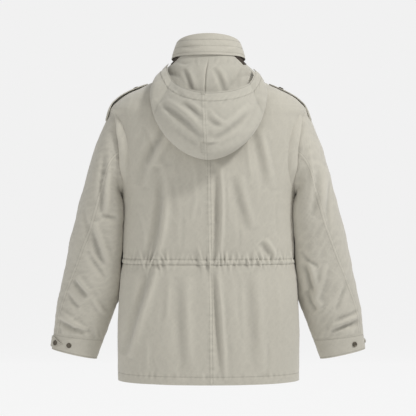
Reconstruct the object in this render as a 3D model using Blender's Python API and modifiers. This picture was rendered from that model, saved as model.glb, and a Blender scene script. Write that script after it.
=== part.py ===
"""Hooded cotton field jacket, filled out as when worn, sewn from cloth pieces.

Metres, +Z up. The back faces +Y and the wearer's left is +X. The origin is the middle of the
neck opening at the height of the back neck seam, where the jacket hangs on its wearer.
Every cloth piece is a closed wall, lofted on both sides of a grid of points on the garment.
"""
import math

import bmesh
import bpy
import numpy as np
from mathutils import Vector

# ---------------------------------------------------------------- cloth and seams
CLOTH = 0.0014              # wall of one layer of heavy cotton
DOUBLE = 0.0022             # wall of a piece sewn double
SEAM = 0.0004               # space between pieces that are sewn edge to edge

# ---------------------------------------------------------------- torso
TORSO = (
    ("z", "edge_x", "back_depth", "front_depth", "power"),
    (0.000, 0.0800, 0.083, 0.060, 2.00),
    (-0.012, 0.1040, 0.088, 0.064, 2.05),
    (-0.025, 0.1340, 0.093, 0.070, 2.10),
    (-0.038, 0.1600, 0.098, 0.076, 2.15),
    (-0.058, 0.2020, 0.107, 0.083, 2.25),
    (-0.078, 0.2290, 0.114, 0.090, 2.30),
    (-0.088, 0.2380, 0.117, 0.093, 2.35),
    (-0.115, 0.2268, 0.123, 0.102, 2.40),
    (-0.150, 0.2130, 0.128, 0.112, 2.40),
    (-0.200, 0.2035, 0.130, 0.121, 2.40),
    (-0.250, 0.2035, 0.130, 0.125, 2.40),
    (-0.290, 0.2098, 0.128, 0.127, 2.40),
    (-0.312, 0.2140, 0.127, 0.127, 2.40),
    (-0.335, 0.2124, 0.125, 0.126, 2.40),
    (-0.390, 0.2120, 0.121, 0.123, 2.40),
    (-0.4635, 0.2140, 0.117, 0.119, 2.40),
    (-0.550, 0.2205, 0.121, 0.121, 2.35),
    (-0.650, 0.2245, 0.121, 0.121, 2.25),
    (-0.762, 0.2235, 0.118, 0.118, 2.12),
)
SHOULDER_POINT_Z = -0.088
UNDERARM_Z = -0.312
ARMHOLE_HALF_DEPTH = 0.078   # half of the armhole, front to back
FRONT_NECK_DROP = 0.065      # how far the neckline falls at the centre front
NECK_DROP_ANGLE = 24.0       # degrees from the centre front over which it falls
NECK_DROP_POWER = 1.6
NECK_DROP_REACH = 0.300      # height over which the front's rows follow the neckline
WAIST_Z = -0.4635
HEM_Z = -0.762

SHOULDER_ROWS = (0.0, -0.014, -0.034, -0.054, -0.072)
ARMHOLE_STEPS = 10
UPPER_BODY_ROWS = (-0.334, -0.365, -0.400, -0.432)
GATHER_ROWS = (-0.4535, -0.4635, -0.4735)
LOWER_BODY_ROWS = (-0.488, -0.520, -0.565, -0.615, -0.665, -0.715, HEM_Z)
FINE = 3                     # columns of a gathered row for each column of a plain one

BACK_COLUMNS = 11            # over half the back, up to where the action pleat leaves it
SEAM_X = (-0.0034, -0.0126)    # the centre back seam's place at the neck and at the hem
PLEAT_START = 0.90
FRONT_COLUMNS = 8            # over half the front

# The action pleat laps past the armhole seam and folds back to it. Out is along X from the
# seam, lift is away from the sleeve.
PLEAT = (
    ("step", "out", "lift"),
    (0.0, -0.0115, 0.0098),
    (1.0, -0.0060, 0.0112),
    (2.0, 0.0012, 0.0110),
    (3.0, 0.0082, 0.0098),
    (4.0, 0.0125, 0.0076),
    (5.0, 0.0092, 0.0052),
    (6.0, 0.0, 0.0),
)
PLEAT_COLUMNS = 6
PLEAT_EASE = 2.2             # steps over which it leaves the back's plain form
PLEAT_TOP = (-0.094, -0.165)       # heights between which the pleat opens
PLEAT_FOOT = (-0.2906, -0.228)      # heights between which it closes again
PLEAT_LAP = 0.0021           # height of its sewn edge over the sleeve's
PLEAT_SHARES = 0.12          # up to this opening its edge meets the sleeve's edge to edge
PLEAT_LAPPED = 0.25          # share of its opening from which the edge laps over the sleeve's

# ---------------------------------------------------------------- folds
# A fold is a quadratic curve through X, Z places seen from behind or in front. A positive
# height raises its left bank, as seen along the curve, and sinks the other.
BACK_FOLDS = (
    ("name", "x0", "z0", "x1", "z1", "x2", "z2", "width", "height"),
    ("long fold above the waist", 0.1065, -0.236, 0.106, -0.385, 0.1376, -0.466, 0.015, -0.0050),
    ("long fold below the waist", 0.1328, -0.480, 0.156, -0.560, 0.2000, -0.700, 0.016, -0.0056),
    ("centre fold above the waist", -0.0215, -0.230, -0.033, -0.345, -0.0190, -0.466, 0.010, -0.0032),
    ("centre fold below the waist", -0.0150, -0.480, -0.027, -0.590, -0.0350, -0.755, 0.010, -0.0032),
    ("left shoulder drag", 0.1376, -0.236, 0.1200, -0.180, 0.0897, -0.138, 0.014, 0.0022),
    ("left armhole drag", 0.1620, -0.285, 0.1500, -0.230, 0.1185, -0.174, 0.014, 0.0026),
    ("right armhole drag", -0.1161, -0.146, -0.1290, -0.210, -0.1448, -0.294, 0.014, -0.0024),
    ("right back fold", -0.0658, -0.258, -0.0800, -0.330, -0.1017, -0.390, 0.014, -0.0022),
    ("right waist fold", -0.1304, -0.414, -0.1450, -0.432, -0.1591, -0.466, 0.010, -0.0026),
    ("right skirt fold", -0.1050, -0.490, -0.1130, -0.590, -0.1200, -0.740, 0.018, -0.0028),
    ("left skirt fold", 0.0600, -0.500, 0.0640, -0.610, 0.0500, -0.745, 0.018, -0.0024),
)
FRONT_FOLDS = (
    ("name", "x0", "z0", "x1", "z1", "x2", "z2", "width", "height"),
    ("left chest drag", 0.1700, -0.290, 0.1350, -0.240, 0.1050, -0.170, 0.014, 0.0024),
    ("right chest drag", -0.1750, -0.300, -0.1400, -0.230, -0.1000, -0.160, 0.014, -0.0026),
    ("left front fold", 0.1020, -0.260, 0.1080, -0.370, 0.1250, -0.460, 0.015, -0.0038),
    ("right front fold", -0.0950, -0.280, -0.1020, -0.380, -0.1150, -0.460, 0.014, 0.0032),
    ("left skirt fold", 0.1180, -0.485, 0.1350, -0.590, 0.1550, -0.740, 0.016, -0.0040),
    ("right skirt fold", -0.1100, -0.490, -0.1250, -0.600, -0.1400, -0.745, 0.016, 0.0040),
)
SLEEVE_BACK_FOLDS = (
    ("name", "x0", "z0", "x1", "z1", "x2", "z2", "width", "height"),
    ("left upper fold", 0.2447, -0.200, 0.2530, -0.270, 0.2520, -0.350, 0.010, -0.0030),
    ("left elbow fold", 0.2837, -0.371, 0.2680, -0.425, 0.2500, -0.476, 0.011, -0.0034),
    ("left forearm fold", 0.3300, -0.508, 0.3150, -0.530, 0.2920, -0.552, 0.010, -0.0034),
    ("left cuff fold", 0.3760, -0.610, 0.3400, -0.625, 0.3020, -0.646, 0.010, -0.0040),
    ("right upper fold", -0.2750, -0.230, -0.2760, -0.300, -0.2600, -0.360, 0.012, -0.0028),
    ("right elbow fold", -0.2374, -0.468, -0.2500, -0.500, -0.2618, -0.561, 0.011, -0.0034),
    ("right inner fold", -0.2447, -0.537, -0.2560, -0.565, -0.2739, -0.585, 0.010, -0.0038),
    ("right cuff fold", -0.3760, -0.612, -0.3400, -0.622, -0.3000, -0.640, 0.010, 0.0034),
)
SLEEVE_FRONT_FOLDS = (
    ("name", "x0", "z0", "x1", "z1", "x2", "z2", "width", "height"),
    ("left bend fold", 0.2500, -0.395, 0.2850, -0.420, 0.3200, -0.425, 0.012, 0.0034),
    ("left forearm fold", 0.2650, -0.520, 0.3000, -0.545, 0.3400, -0.545, 0.011, -0.0030),
    ("left cuff fold", 0.3000, -0.640, 0.3350, -0.625, 0.3700, -0.615, 0.010, 0.0034),
    ("right bend fold", -0.2500, -0.390, -0.2850, -0.410, -0.3200, -0.420, 0.012, -0.0034),
    ("right forearm fold", -0.2620, -0.510, -0.3000, -0.535, -0.3400, -0.540, 0.011, 0.0030),
    ("right cuff fold", -0.3000, -0.642, -0.3350, -0.628, -0.3700, -0.612, 0.010, -0.0034),
)
HOOD_FOLDS = (
    ("name", "x0", "z0", "x1", "z1", "x2", "z2", "width", "height"),
    ("left short fold", 0.0640, -0.082, 0.0350, -0.096, 0.0117, -0.126, 0.008, -0.0038),
    ("left long fold", 0.1100, -0.084, 0.0620, -0.110, 0.0106, -0.170, 0.011, -0.0058),
    ("right upper fold", 0.0012, -0.119, -0.0160, -0.138, -0.0400, -0.142, 0.008, -0.0028),
    ("right long fold", -0.0073, -0.168, -0.0500, -0.150, -0.1030, -0.094, 0.011, -0.0044),
    ("low crease", 0.0180, -0.183, 0.0, -0.186, -0.0250, -0.180, 0.005, -0.0020),
)
FOLD_STEPS = 12              # straight steps along a fold's curve
FOLD_BANK = 0.7              # place of a fold's banks, in widths
FOLD_SHARPNESS = 1.6

# Gathers of the waist drawcord: how high they stand along the waist.
GATHERS = (
    ("x", "height"),
    (-0.215, 0.0004),
    (-0.170, 0.0011),
    (-0.100, 0.0010),
    (-0.050, 0.0007),
    (-0.010, 0.0011),
    (0.060, 0.0004),
    (0.120, 0.0006),
    (0.160, 0.0012),
    (0.215, 0.0005),
)
GATHER_REACH = 0.016         # how far up and down from the drawcord they run
WAIST_CINCH = 0.0030         # how far the drawcord pulls the cloth in
CINCH_REACH = 0.022

# ---------------------------------------------------------------- sleeves
# A section of the left sleeve runs from an inner to an outer place in X, Z. Ring is the share
# of the armhole's own outline, and the seams are angles from the outer side over the back.
SLEEVE = (
    ("at", "in_x", "in_z", "out_x", "out_z", "mid_y", "half_depth", "power", "ring",
     "elbow_seam", "inner_seam"),
    (0.00, 0.2140, -0.3120, 0.2380, -0.0880, 0.000, 0.078, 2.00, 1.0, 90, 252),
    (0.05, 0.2168, -0.3118, 0.2555, -0.1180, 0.000, 0.080, 2.05, 0.5, 90, 252),
    (0.12, 0.2100, -0.3175, 0.2770, -0.1730, -0.002, 0.083, 2.10, 0.1, 89, 252),
    (0.20, 0.2030, -0.3290, 0.2955, -0.2400, -0.004, 0.086, 2.15, 0.0, 87, 252),
    (0.30, 0.1990, -0.3520, 0.3150, -0.3080, -0.008, 0.088, 2.20, 0.0, 84, 251),
    (0.40, 0.2000, -0.3920, 0.3310, -0.3680, -0.013, 0.086, 2.20, 0.0, 80, 251),
    (0.50, 0.2020, -0.4400, 0.3430, -0.4140, -0.018, 0.081, 2.20, 0.0, 72, 251),
    (0.60, 0.2060, -0.4900, 0.3525, -0.4620, -0.023, 0.075, 2.20, 0.0, 63, 250),
    (0.70, 0.2150, -0.5400, 0.3628, -0.5090, -0.028, 0.068, 2.20, 0.0, 54, 250),
    (0.80, 0.2330, -0.5850, 0.3730, -0.5540, -0.032, 0.060, 2.15, 0.0, 47, 250),
    (0.90, 0.2480, -0.6260, 0.3825, -0.6030, -0.035, 0.052, 2.10, 0.0, 42, 250),
    (1.00, 0.2630, -0.6640, 0.3870, -0.6500, -0.037, 0.042, 2.00, 0.0, 40, 250),
    (1.12, 0.2805, -0.7140, 0.3925, -0.6890, -0.038, 0.038, 2.00, 0.0, 40, 250),
)
SLEEVE_RINGS = (0.0, 0.05, 0.12, 0.20, 0.30, 0.40, 0.50, 0.60, 0.70, 0.80, 0.90, 1.0)
CUFF_RINGS = (1.0, 1.03, 1.09, 1.12)
CUFF_END = 1.12
ELBOW_COLUMN = 5             # of the twice ARMHOLE_STEPS columns round the arm
INNER_COLUMN = 14
SLEEVE_FOLDS_FACE = (0.1, 0.5)   # how far the cloth faces back or front where folds begin
SLEEVE_CALM_HEAD = (0.0, 0.12)   # no folds at the seams of the head and the cuff
SLEEVE_CALM_END = (1.0, 0.95)
SLEEVE_CLEARANCE = 0.0028    # from the middle of the side's wall to that of the sleeve's

# ---------------------------------------------------------------- collar
COLLAR_INSET = 0.0034        # the collar's foot stands this far inside the neckline
COLLAR_FOOT = 0.0006         # and this far below it
COLLAR_TOP_HALF_WIDTH = 0.0778
COLLAR_TOP_BACK = 0.0695
COLLAR_TOP_FRONT = 0.0680
COLLAR_FRONT_Z = 0.012       # top edge at the centre front
COLLAR_BACK_Z = 0.0874       # top edge at the centre back
COLLAR_TOP_POWER = 0.50
COLLAR_BULGE = 0.0075
COLLAR_BULGE_POWER = 0.75
COLLAR_END = 179.2           # degrees from the centre back
COLLAR_COLUMNS = 28
ZIP_LINE_BACK = 0.39         # height of the zip line as a share of the collar's height
ZIP_LINE_FRONT = 0.58
INNER_LAYER = (
    ("share", "out"),
    (0.00, 0.0),
    (0.25, 0.0),
    (0.50, 0.0),
    (0.76, 0.0),
    (0.97, 0.0004),
    (1.00, 0.0015),
)
OUTER_LAYER = (
    ("share", "out"),
    (0.96, 0.0026),
    (0.66, 0.0044),
    (0.30, 0.0058),
    (0.00, 0.0068),
)
HOOD_TUCK_OUT = 0.0026       # the hood and the zip tape hang between the collar's two layers
HOOD_TUCK = 0.06             # share of the collar's height that they reach above the zip line
ZIP_TUCK_OUT = 0.0018        # the tape lies closer to the inner layer
HOOD_HALF_ANGLE = 53.0       # degrees of the collar that the hood fills, each side
ZIP_ANGLES = (66.0, 124.0)
ZIP_DROP = 0.08              # share of the collar's height that the zip tape shows
ZIP_WALL = 0.0012
ZIP_COLUMNS = 6

# ---------------------------------------------------------------- hood
# The hood hangs from the zip line down the back, turns at its lowest line and comes up again
# to the rim of its face opening. Each row is a curve from one shoulder to the other.
HOOD = (
    ("row", "half_width", "shift", "back_y", "back_z", "side_y", "side_z", "wrap", "power",
     "end_shift", "end_rise", "seam_lean", "clear_back", "clear_end"),
    (0.0, 0.0855, 0.000, 0.0865, 0.0220, 0.0300, 0.0200, 90, 2.00, 0.0, 0.0, 0.000, 0.0054, 0.0054),
    (1.0, 0.0990, 0.000, 0.1030, -0.0120, 0.0180, 0.0110, 90, 2.00, 0.0, 0.0, 0.040, 0.0054, 0.0054),
    (2.0, 0.1160, 0.000, 0.1220, -0.0750, 0.0160, -0.0060, 90, 1.95, 0.0, 0.0, 0.050, 0.0054, 0.0054),
    (3.0, 0.1290, 0.000, 0.1380, -0.1550, 0.0500, -0.0350, 92, 1.85, 0.0, 0.0, 0.020, 0.0054, 0.0056),
    (4.0, 0.1390, 0.000, 0.1560, -0.2190, 0.0900, -0.0620, 98, 1.82, 0.0, 0.0, 0.006, 0.0110, 0.0080),
    (5.0, 0.1400, 0.000, 0.1800, -0.2080, 0.0980, -0.0650, 103, 1.84, 0.0, 0.0, 0.008, 0.0190, 0.0130),
    (6.0, 0.1330, -0.001, 0.1920, -0.1550, 0.0850, -0.0450, 107, 1.88, 0.0, 0.0, 0.025, 0.0240, 0.0180),
    (7.0, 0.1200, -0.004, 0.1850, -0.1050, 0.0700, -0.0230, 106, 1.95, -0.003, 0.003, 0.050, 0.0250, 0.0220),
    (8.0, 0.1060, -0.007, 0.1680, -0.0635, 0.0560, -0.0030, 102, 2.05, -0.006, 0.007, 0.070, 0.0250, 0.0260),
)
HOOD_ROWS = (0.0, 0.2, 0.45, 1.0, 1.6, 2.3, 3.0, 3.5, 3.9, 4.3, 4.7, 5.2, 5.8, 6.4, 7.0, 7.5, 8.0)
HOOD_COLUMNS = (0.0, 0.09, 0.18, 0.27, 0.36, 0.45, 0.53, 0.60, 0.67, 0.73, 0.79, 0.85, 0.92, 1.0)
LIFT_REACH = 0.12            # farthest that a place of the hood is lifted off the torso
LIFT_STEPS = 14              # halvings of that distance
HOOD_LAID_ROWS = (0.6, 1.4)  # rows between which it comes to rest on the torso
HOOD_OUTSIDE_ROWS = (4.2, 5.2)   # rows between which its outer side begins to fold
HOOD_ENDS = (0.72, 1.0)      # places between which it comes to lie flatter on the shoulder
COLLAR_HOLD_REACH = 0.4      # rows over which the hood leaves the collar's line

# ---------------------------------------------------------------- placket, tabs, straps, snaps
PLACKET_X = (-0.017, 0.043)
PLACKET_Z = (-0.074, -0.752)
PLACKET_LAY = 0.0007         # space under the placket
PLACKET_ROWS = 16
PLACKET_COLUMNS = 4
PLACKET_SNAPS = 7
PLACKET_SNAP_X = 0.013
PLACKET_SNAP_Z = (-0.107, -0.707)

TAB_LAY = 0.0013             # space under a tab, which bends tightly round the cuff
TAB_ROWS = (-1.0, 0.0, 1.0)
TAB_HALF_HEIGHT = 0.040      # in the sleeve's own length fractions
TAB_COLUMNS = 10
TAB_POINT_COLUMNS = 2
TAB_TIP = 0.12               # half height of its blunt tip, as a share
TAB_ANGLES = {"left": (-75.0, 57.0), "right": (-132.0, 2.0)}
TAB_SNAP_ANGLE = {"left": 36.0, "right": -18.0}
SPARE_SNAP_ANGLE = {"left": 75.0, "right": 58.0}
SPARE_SNAP_SINK = {"left": 0.0008, "right": 0.0}   # it lies on a flat of the cuff, inside its oval
CUFF_SNAP_AT = 1.062

STRAP_LAY = 0.0010           # space under a shoulder strap at its ends
STRAP_BODY_Z = (-0.0325, -0.040, -0.052, -0.065, -0.077, -0.086)
STRAP_SLEEVE_AT = (0.022, 0.052)
STRAP_HALF_WIDTHS = (0.004, 0.0175, 0.0205, 0.0225, 0.0235, 0.0245, 0.0250, 0.0250)
STRAP_COLUMNS = 4
STRAP_ARCH = {"left": 0.0042, "right": 0.0026}
STRAP_SNAP_Z = -0.046

CUFF_NUDGE = 0.02            # step along and round the cuff over which its slope is taken
FRONT_NUDGE = 0.002          # the same on the front

SNAP_STEPS = 12
SNAP_PROFILE = ((0.0, 0.0018), (0.0048, 0.0021), (0.0066, 0.0010), (0.0064, 0.0), (0.0, 0.0))
SNAP_SEAT = 0.0005

COLOURS = {
    "cloth": (0.462, 0.440, 0.374),
    "hood": (0.440, 0.420, 0.360),
    "sleeve": (0.430, 0.410, 0.350),
    "zip": (0.055, 0.042, 0.033),
    "snap": (0.200, 0.185, 0.150),
}


# ---------------------------------------------------------------- tables and curves
def read(table, name, at):
    """Smooth cubic through a table's named column, whose first column is the place."""
    place = np.array([row[0] for row in table[1:]], dtype=float)
    value = np.array([row[table[0].index(name)] for row in table[1:]], dtype=float)
    order = np.argsort(place)
    place, value = place[order], value[order]
    slope = np.gradient(value, place)
    at = np.clip(at, place[0], place[-1])
    i = np.clip(np.searchsorted(place, at) - 1, 0, len(place) - 2)
    step = place[i + 1] - place[i]
    t = (at - place[i]) / step
    start = (2 * t**3 - 3 * t**2 + 1) * value[i] + (t**3 - 2 * t**2 + t) * step * slope[i]
    end = (3 * t**2 - 2 * t**3) * value[i + 1] + (t**3 - t**2) * step * slope[i + 1]
    return start + end


def ease(low, high, value):
    """Smooth step from 0 at low to 1 at high."""
    t = np.clip((value - low) / (high - low), 0, 1)
    return t * t * (3 - 2 * t)


def oval(angle, power):
    """Sine and cosine of a squared oval."""
    sine = np.sign(np.sin(angle)) * np.abs(np.sin(angle)) ** (2 / power)
    cosine = np.sign(np.cos(angle)) * np.abs(np.cos(angle)) ** (2 / power)
    return sine, cosine


def unit(vectors):
    """Vectors of length one."""
    return vectors / np.maximum(np.linalg.norm(vectors, axis=-1, keepdims=True), 1e-12)


def refine(values, count):
    """Each step of a list of values cut into equal shorter ones."""
    steps = np.arange((len(values) - 1) * count + 1) / count
    return np.interp(steps, np.arange(len(values)), values)


def grid_normals(points, outward, closed=False):
    """Unit normals of a grid of points, turned to the side that the outward vectors point to."""
    if closed:
        across = np.roll(points, -1, axis=1) - np.roll(points, 1, axis=1)
    else:
        across = np.gradient(points, axis=1)
    along = np.gradient(points, axis=0)
    normals = unit(np.cross(across, along))
    middle = np.sum(normals * outward, axis=-1).mean()
    return normals * np.sign(middle)


# ---------------------------------------------------------------- folds
def fold_height(x, z, folds):
    """Height of the folds over places seen from behind or in front."""
    total = np.zeros_like(x)
    place = np.stack([x, z], axis=-1)[..., None, :]
    for _, x0, z0, x1, z1, x2, z2, width, height in folds[1:]:
        t = np.linspace(0, 1, FOLD_STEPS + 1)[:, None]
        line = (1 - t)**2 * np.array([x0, z0]) + 2 * t * (1 - t) * np.array([x1, z1])
        line = line + t**2 * np.array([x2, z2])
        start, run = line[:-1], line[1:] - line[:-1]
        share = np.clip(np.sum((place - start) * run, axis=-1) / np.sum(run * run, axis=-1), 0, 1)
        away = place - (start + share[..., None] * run)
        distance = np.linalg.norm(away, axis=-1)
        nearest = np.argmin(distance, axis=-1)[..., None]
        side = np.sign(run[:, 0] * away[..., 1] - run[:, 1] * away[..., 0])
        signed = np.take_along_axis(distance * side, nearest, axis=-1)[..., 0] / width
        along = (nearest + np.take_along_axis(share, nearest, axis=-1))[..., 0] / FOLD_STEPS
        fade = np.clip(4 * along * (1 - along), 0, 1) ** 0.7
        left = np.exp(-FOLD_SHARPNESS * (signed - FOLD_BANK)**2)
        right = np.exp(-FOLD_SHARPNESS * (signed + FOLD_BANK)**2)
        total += height * fade * (left - right)
    return total


# ---------------------------------------------------------------- torso form
def armhole_depth(z):
    """Half the armhole, front to back, at a height."""
    middle = (SHOULDER_POINT_Z + UNDERARM_Z) / 2
    rise = (z - middle) / (SHOULDER_POINT_Z - middle)
    return ARMHOLE_HALF_DEPTH * np.sqrt(np.clip(1 - rise**2, 0, None))


def torso_section(facing, z):
    """Half width, depth and power of the oval at a height; it passes through the side edge."""
    depth = read(TORSO, "back_depth" if facing > 0 else "front_depth", z)
    power = read(TORSO, "power", z)
    edge = read(TORSO, "edge_x", z)
    share = (armhole_depth(z) / depth) ** power
    return edge / (1 - share) ** (1 / power), depth, power


def neck_drop(share):
    """How far the front neckline lies below the back one, at a share of the front's width."""
    return FRONT_NECK_DROP * np.exp(-(np.abs(share) * 90 / NECK_DROP_ANGLE) ** NECK_DROP_POWER)


def torso_points(facing, share, row_z):
    """Points on the torso: share is 0 at the centre and 1 at the side edge, signed by X."""
    z = row_z
    if facing < 0:
        z = row_z - neck_drop(share) * np.clip(1 + row_z / NECK_DROP_REACH, 0, 1) ** 2
    half, depth, power = torso_section(facing, z)
    edge_angle = np.arccos((armhole_depth(z) / depth) ** (power / 2))
    sine, cosine = oval(edge_angle * np.abs(share), power)
    return np.stack([np.sign(share) * half * sine, facing * depth * cosine, z], axis=-1)


def torso_share(facing, x, z):
    """The share of the torso's width at a place x on a plain section."""
    half, depth, power = torso_section(facing, z)
    edge_angle = np.arccos((armhole_depth(z) / depth) ** (power / 2))
    return np.sign(x) * np.arcsin((np.abs(x) / half) ** (power / 2)) / edge_angle


def pleat_opening(z):
    """How far the action pleat is open at a height, from 0 to 1."""
    return ease(PLEAT_TOP[0], PLEAT_TOP[1], z) * ease(PLEAT_FOOT[0], PLEAT_FOOT[1], z)


def lay_pleat(points, share, row_z):
    """The action pleat along the back's armhole edges."""
    step = np.clip((np.abs(share) - PLEAT_START) / (1 - PLEAT_START), 0, 1) * PLEAT_COLUMNS
    opening = pleat_opening(row_z)
    middle = (SHOULDER_POINT_Z + UNDERARM_Z) / 2
    seam_y = armhole_depth(row_z)
    lift_y = seam_y / ARMHOLE_HALF_DEPTH**2
    lift_z = (row_z - middle) / (SHOULDER_POINT_Z - middle)**2
    length = np.maximum(np.hypot(lift_y, lift_z), 1e-9)
    out = read(PLEAT, "out", step)
    at_seam = np.clip(step - PLEAT_COLUMNS + 1, 0, 1)
    lift = read(PLEAT, "lift", step)
    target = np.stack([
        np.sign(share) * (read(TORSO, "edge_x", row_z) + out),
        seam_y + lift * lift_y / length,
        row_z + lift * lift_z / length,
    ], axis=-1)
    weight = opening * ease(0.0, PLEAT_EASE, step)
    laid = points + weight[..., None] * (target - points)
    lap = PLEAT_LAP * at_seam * ease(0.0, PLEAT_LAPPED, opening)
    return laid + np.stack([0 * lap, lap * lift_y / length, lap * lift_z / length], axis=-1)


def gather_height(share, x, z, count):
    """Height of the drawcord's gathers and of its pull on the cloth."""
    stand = read(GATHERS, "height", x) * np.cos(2 * np.pi * np.abs(share) * count)
    stand = stand * ease(1.0, PLEAT_START, np.abs(share))
    wave = stand * np.exp(-((z - WAIST_Z) / GATHER_REACH)**2)
    return wave - WAIST_CINCH * np.exp(-((z - WAIST_Z) / CINCH_REACH)**2)


def torso_relief(facing, share, points, gathers):
    """Height of folds and gathers over the torso's plain form."""
    folds = BACK_FOLDS if facing > 0 else FRONT_FOLDS
    x, z = points[..., 0], points[..., 2]
    calm = ease(1.0, PLEAT_START, np.abs(share))
    return fold_height(x, z, folds) * calm + gather_height(share, x, z, gathers)


def torso_grid(facing, share, row_z, gathers):
    """Points and normals of a grid over the torso."""
    share, row_z = np.broadcast_arrays(share, row_z)
    if facing > 0:
        seam_x = SEAM_X[0] + (SEAM_X[1] - SEAM_X[0]) * row_z / HEM_Z
        share = share + torso_share(1, seam_x, row_z) * np.clip(1 - np.abs(share) / PLEAT_START, 0, None)
    points = torso_points(facing, share, row_z)
    if facing > 0:
        points = lay_pleat(points, share, row_z)
    outward = points * np.array([1.0, 1.0, 0.0])
    normals = grid_normals(points, outward)
    points = points + normals * torso_relief(facing, share, points, gathers)[..., None]
    return points, grid_normals(points, outward)


def torso_half_width_at(y, z):
    """X of the torso's side at a depth."""
    facing = np.where(y > 0, 1, -1)
    back, front = torso_section(1, z), torso_section(-1, z)
    half = np.where(facing > 0, back[0], front[0])
    depth = np.where(facing > 0, back[1], front[1])
    power = back[2]
    return half * np.clip(1 - (np.abs(y) / depth)**power, 0, None) ** (1 / power)


def inside_torso(points):
    """Whether points lie inside the torso's plain form."""
    back, front = torso_section(1, points[..., 2]), torso_section(-1, points[..., 2])
    depth = np.where(points[..., 1] > 0, back[1], front[1])
    half = np.where(points[..., 1] > 0, back[0], front[0])
    across, along = np.abs(points[..., 0]) / half, np.abs(points[..., 1]) / depth
    return across**back[2] + along**back[2] < 1


def lift_off_torso(points, clearance):
    """Points moved up and back, but not sideways, until they lie clear of the torso's form."""
    upright = np.array([0.0, 1.0, 1.0]) / math.sqrt(2)
    foot = points - clearance[..., None] * upright
    low, high = np.zeros(points.shape[:-1]), np.full(points.shape[:-1], LIFT_REACH)
    for _ in range(LIFT_STEPS):
        middle = (low + high) / 2
        short = inside_torso(foot + middle[..., None] * upright)
        low, high = np.where(short, middle, low), np.where(short, high, middle)
    lift = np.where(inside_torso(foot), high, 0)
    return points + lift[..., None] * upright


# ---------------------------------------------------------------- sleeve form
def sleeve_angles(at):
    """Angles of the columns round the arm; the elbow seam turns outward towards the cuff."""
    columns = np.arange(2 * ARMHOLE_STEPS)
    elbow = read(SLEEVE, "elbow_seam", at)[:, None]
    inner = read(SLEEVE, "inner_seam", at)[:, None]
    upper = (inner - 360) + (elbow - inner + 360) * (
        (columns - INNER_COLUMN + 2 * ARMHOLE_STEPS) / (ELBOW_COLUMN - INNER_COLUMN + 2 * ARMHOLE_STEPS))
    upper_late = upper - 2 * ARMHOLE_STEPS * (elbow - inner + 360) / (
        ELBOW_COLUMN - INNER_COLUMN + 2 * ARMHOLE_STEPS)
    under = elbow + (inner - elbow) * (columns - ELBOW_COLUMN) / (INNER_COLUMN - ELBOW_COLUMN)
    angles = np.where(columns <= ELBOW_COLUMN, upper, np.where(columns >= INNER_COLUMN, upper_late, under))
    return np.radians(angles)


def sleeve_points(at, angles):
    """Points of the left sleeve and cuff at length fractions and angles round the arm."""
    def column(name):
        return read(SLEEVE, name, at)

    sine, cosine = oval(angles, column("power"))
    mid_x, mid_z = (column("in_x") + column("out_x")) / 2, (column("in_z") + column("out_z")) / 2
    half_x, half_z = (column("out_x") - column("in_x")) / 2, (column("out_z") - column("in_z")) / 2
    x = mid_x + half_x * cosine
    y = column("mid_y") + column("half_depth") * sine
    z = mid_z + half_z * cosine
    ring_x = read(TORSO, "edge_x", np.clip(z, UNDERARM_Z, SHOULDER_POINT_Z))
    _, foot_x, foot_z, head_x, head_z = SLEEVE[1][:5]
    straight = foot_x + (head_x - foot_x) * (z - foot_z) / (head_z - foot_z)
    x = x + column("ring") * (ring_x - straight)
    below = z < UNDERARM_Z
    side = np.where(below, torso_half_width_at(y, z) + SLEEVE_CLEARANCE, x)
    return np.stack([np.maximum(x, side), y, z], axis=-1)


def sleeve_grid(side, at, angles):
    """Points and normals of a ringed grid on a sleeve."""
    at = np.asarray(at, dtype=float)[:, None]
    points = sleeve_points(at, angles)
    outward = points - points.mean(axis=1, keepdims=True)
    normals = grid_normals(points, outward, closed=True)
    mirror = np.array([1.0 if side == "left" else -1.0, 1.0, 1.0])
    points, normals = points * mirror, normals * mirror
    x, z = points[..., 0], points[..., 2]
    behind = fold_height(x, z, SLEEVE_BACK_FOLDS) * ease(*SLEEVE_FOLDS_FACE, normals[..., 1])
    before = fold_height(x, z, SLEEVE_FRONT_FOLDS) * ease(*SLEEVE_FOLDS_FACE, -normals[..., 1])
    calm = ease(*SLEEVE_CALM_HEAD, at) * ease(*SLEEVE_CALM_END, at)
    points = points + normals * (calm * (behind + before))[..., None]
    return points, normals


# ---------------------------------------------------------------- collar form
def neckline(angle):
    """The body's neck edge, by the angle in degrees from the centre back."""
    angle = np.asarray(angle, dtype=float)
    side = np.sign(angle) + (angle == 0)
    back = torso_points(1, side * np.minimum(np.abs(angle), 90) / 90, np.zeros_like(angle))
    front = torso_points(-1, side * (180 - np.maximum(np.abs(angle), 90)) / 90, np.zeros_like(angle))
    return np.where((np.abs(angle) <= 90)[..., None], back, front)


def zip_line(angle):
    """Height of the collar's zip line as a share of the collar's height."""
    return ZIP_LINE_BACK + (ZIP_LINE_FRONT - ZIP_LINE_BACK) * (1 - np.cos(np.radians(angle))) / 2


def collar_points(angle, share, out):
    """Points on the collar: share of its height, and how far outside its inner layer."""
    turn = np.radians(angle)
    foot = neckline(angle)
    outward = unit(foot * np.array([1.0, 1.0, 0.0]))
    foot = foot - outward * COLLAR_INSET - np.array([0, 0, COLLAR_FOOT])
    depth = np.where(np.cos(turn) > 0, COLLAR_TOP_BACK, COLLAR_TOP_FRONT)
    rise = ((1 + np.cos(turn)) / 2) ** COLLAR_TOP_POWER
    top = np.stack([
        COLLAR_TOP_HALF_WIDTH * np.sin(turn),
        depth * np.cos(turn),
        COLLAR_FRONT_Z + (COLLAR_BACK_Z - COLLAR_FRONT_Z) * rise,
    ], axis=-1)
    bulge = COLLAR_BULGE * np.sin(np.pi * np.clip(share, 0, 1) ** COLLAR_BULGE_POWER)
    return foot + (top - foot) * np.asarray(share)[..., None] + outward * (bulge + out)[..., None]


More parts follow.
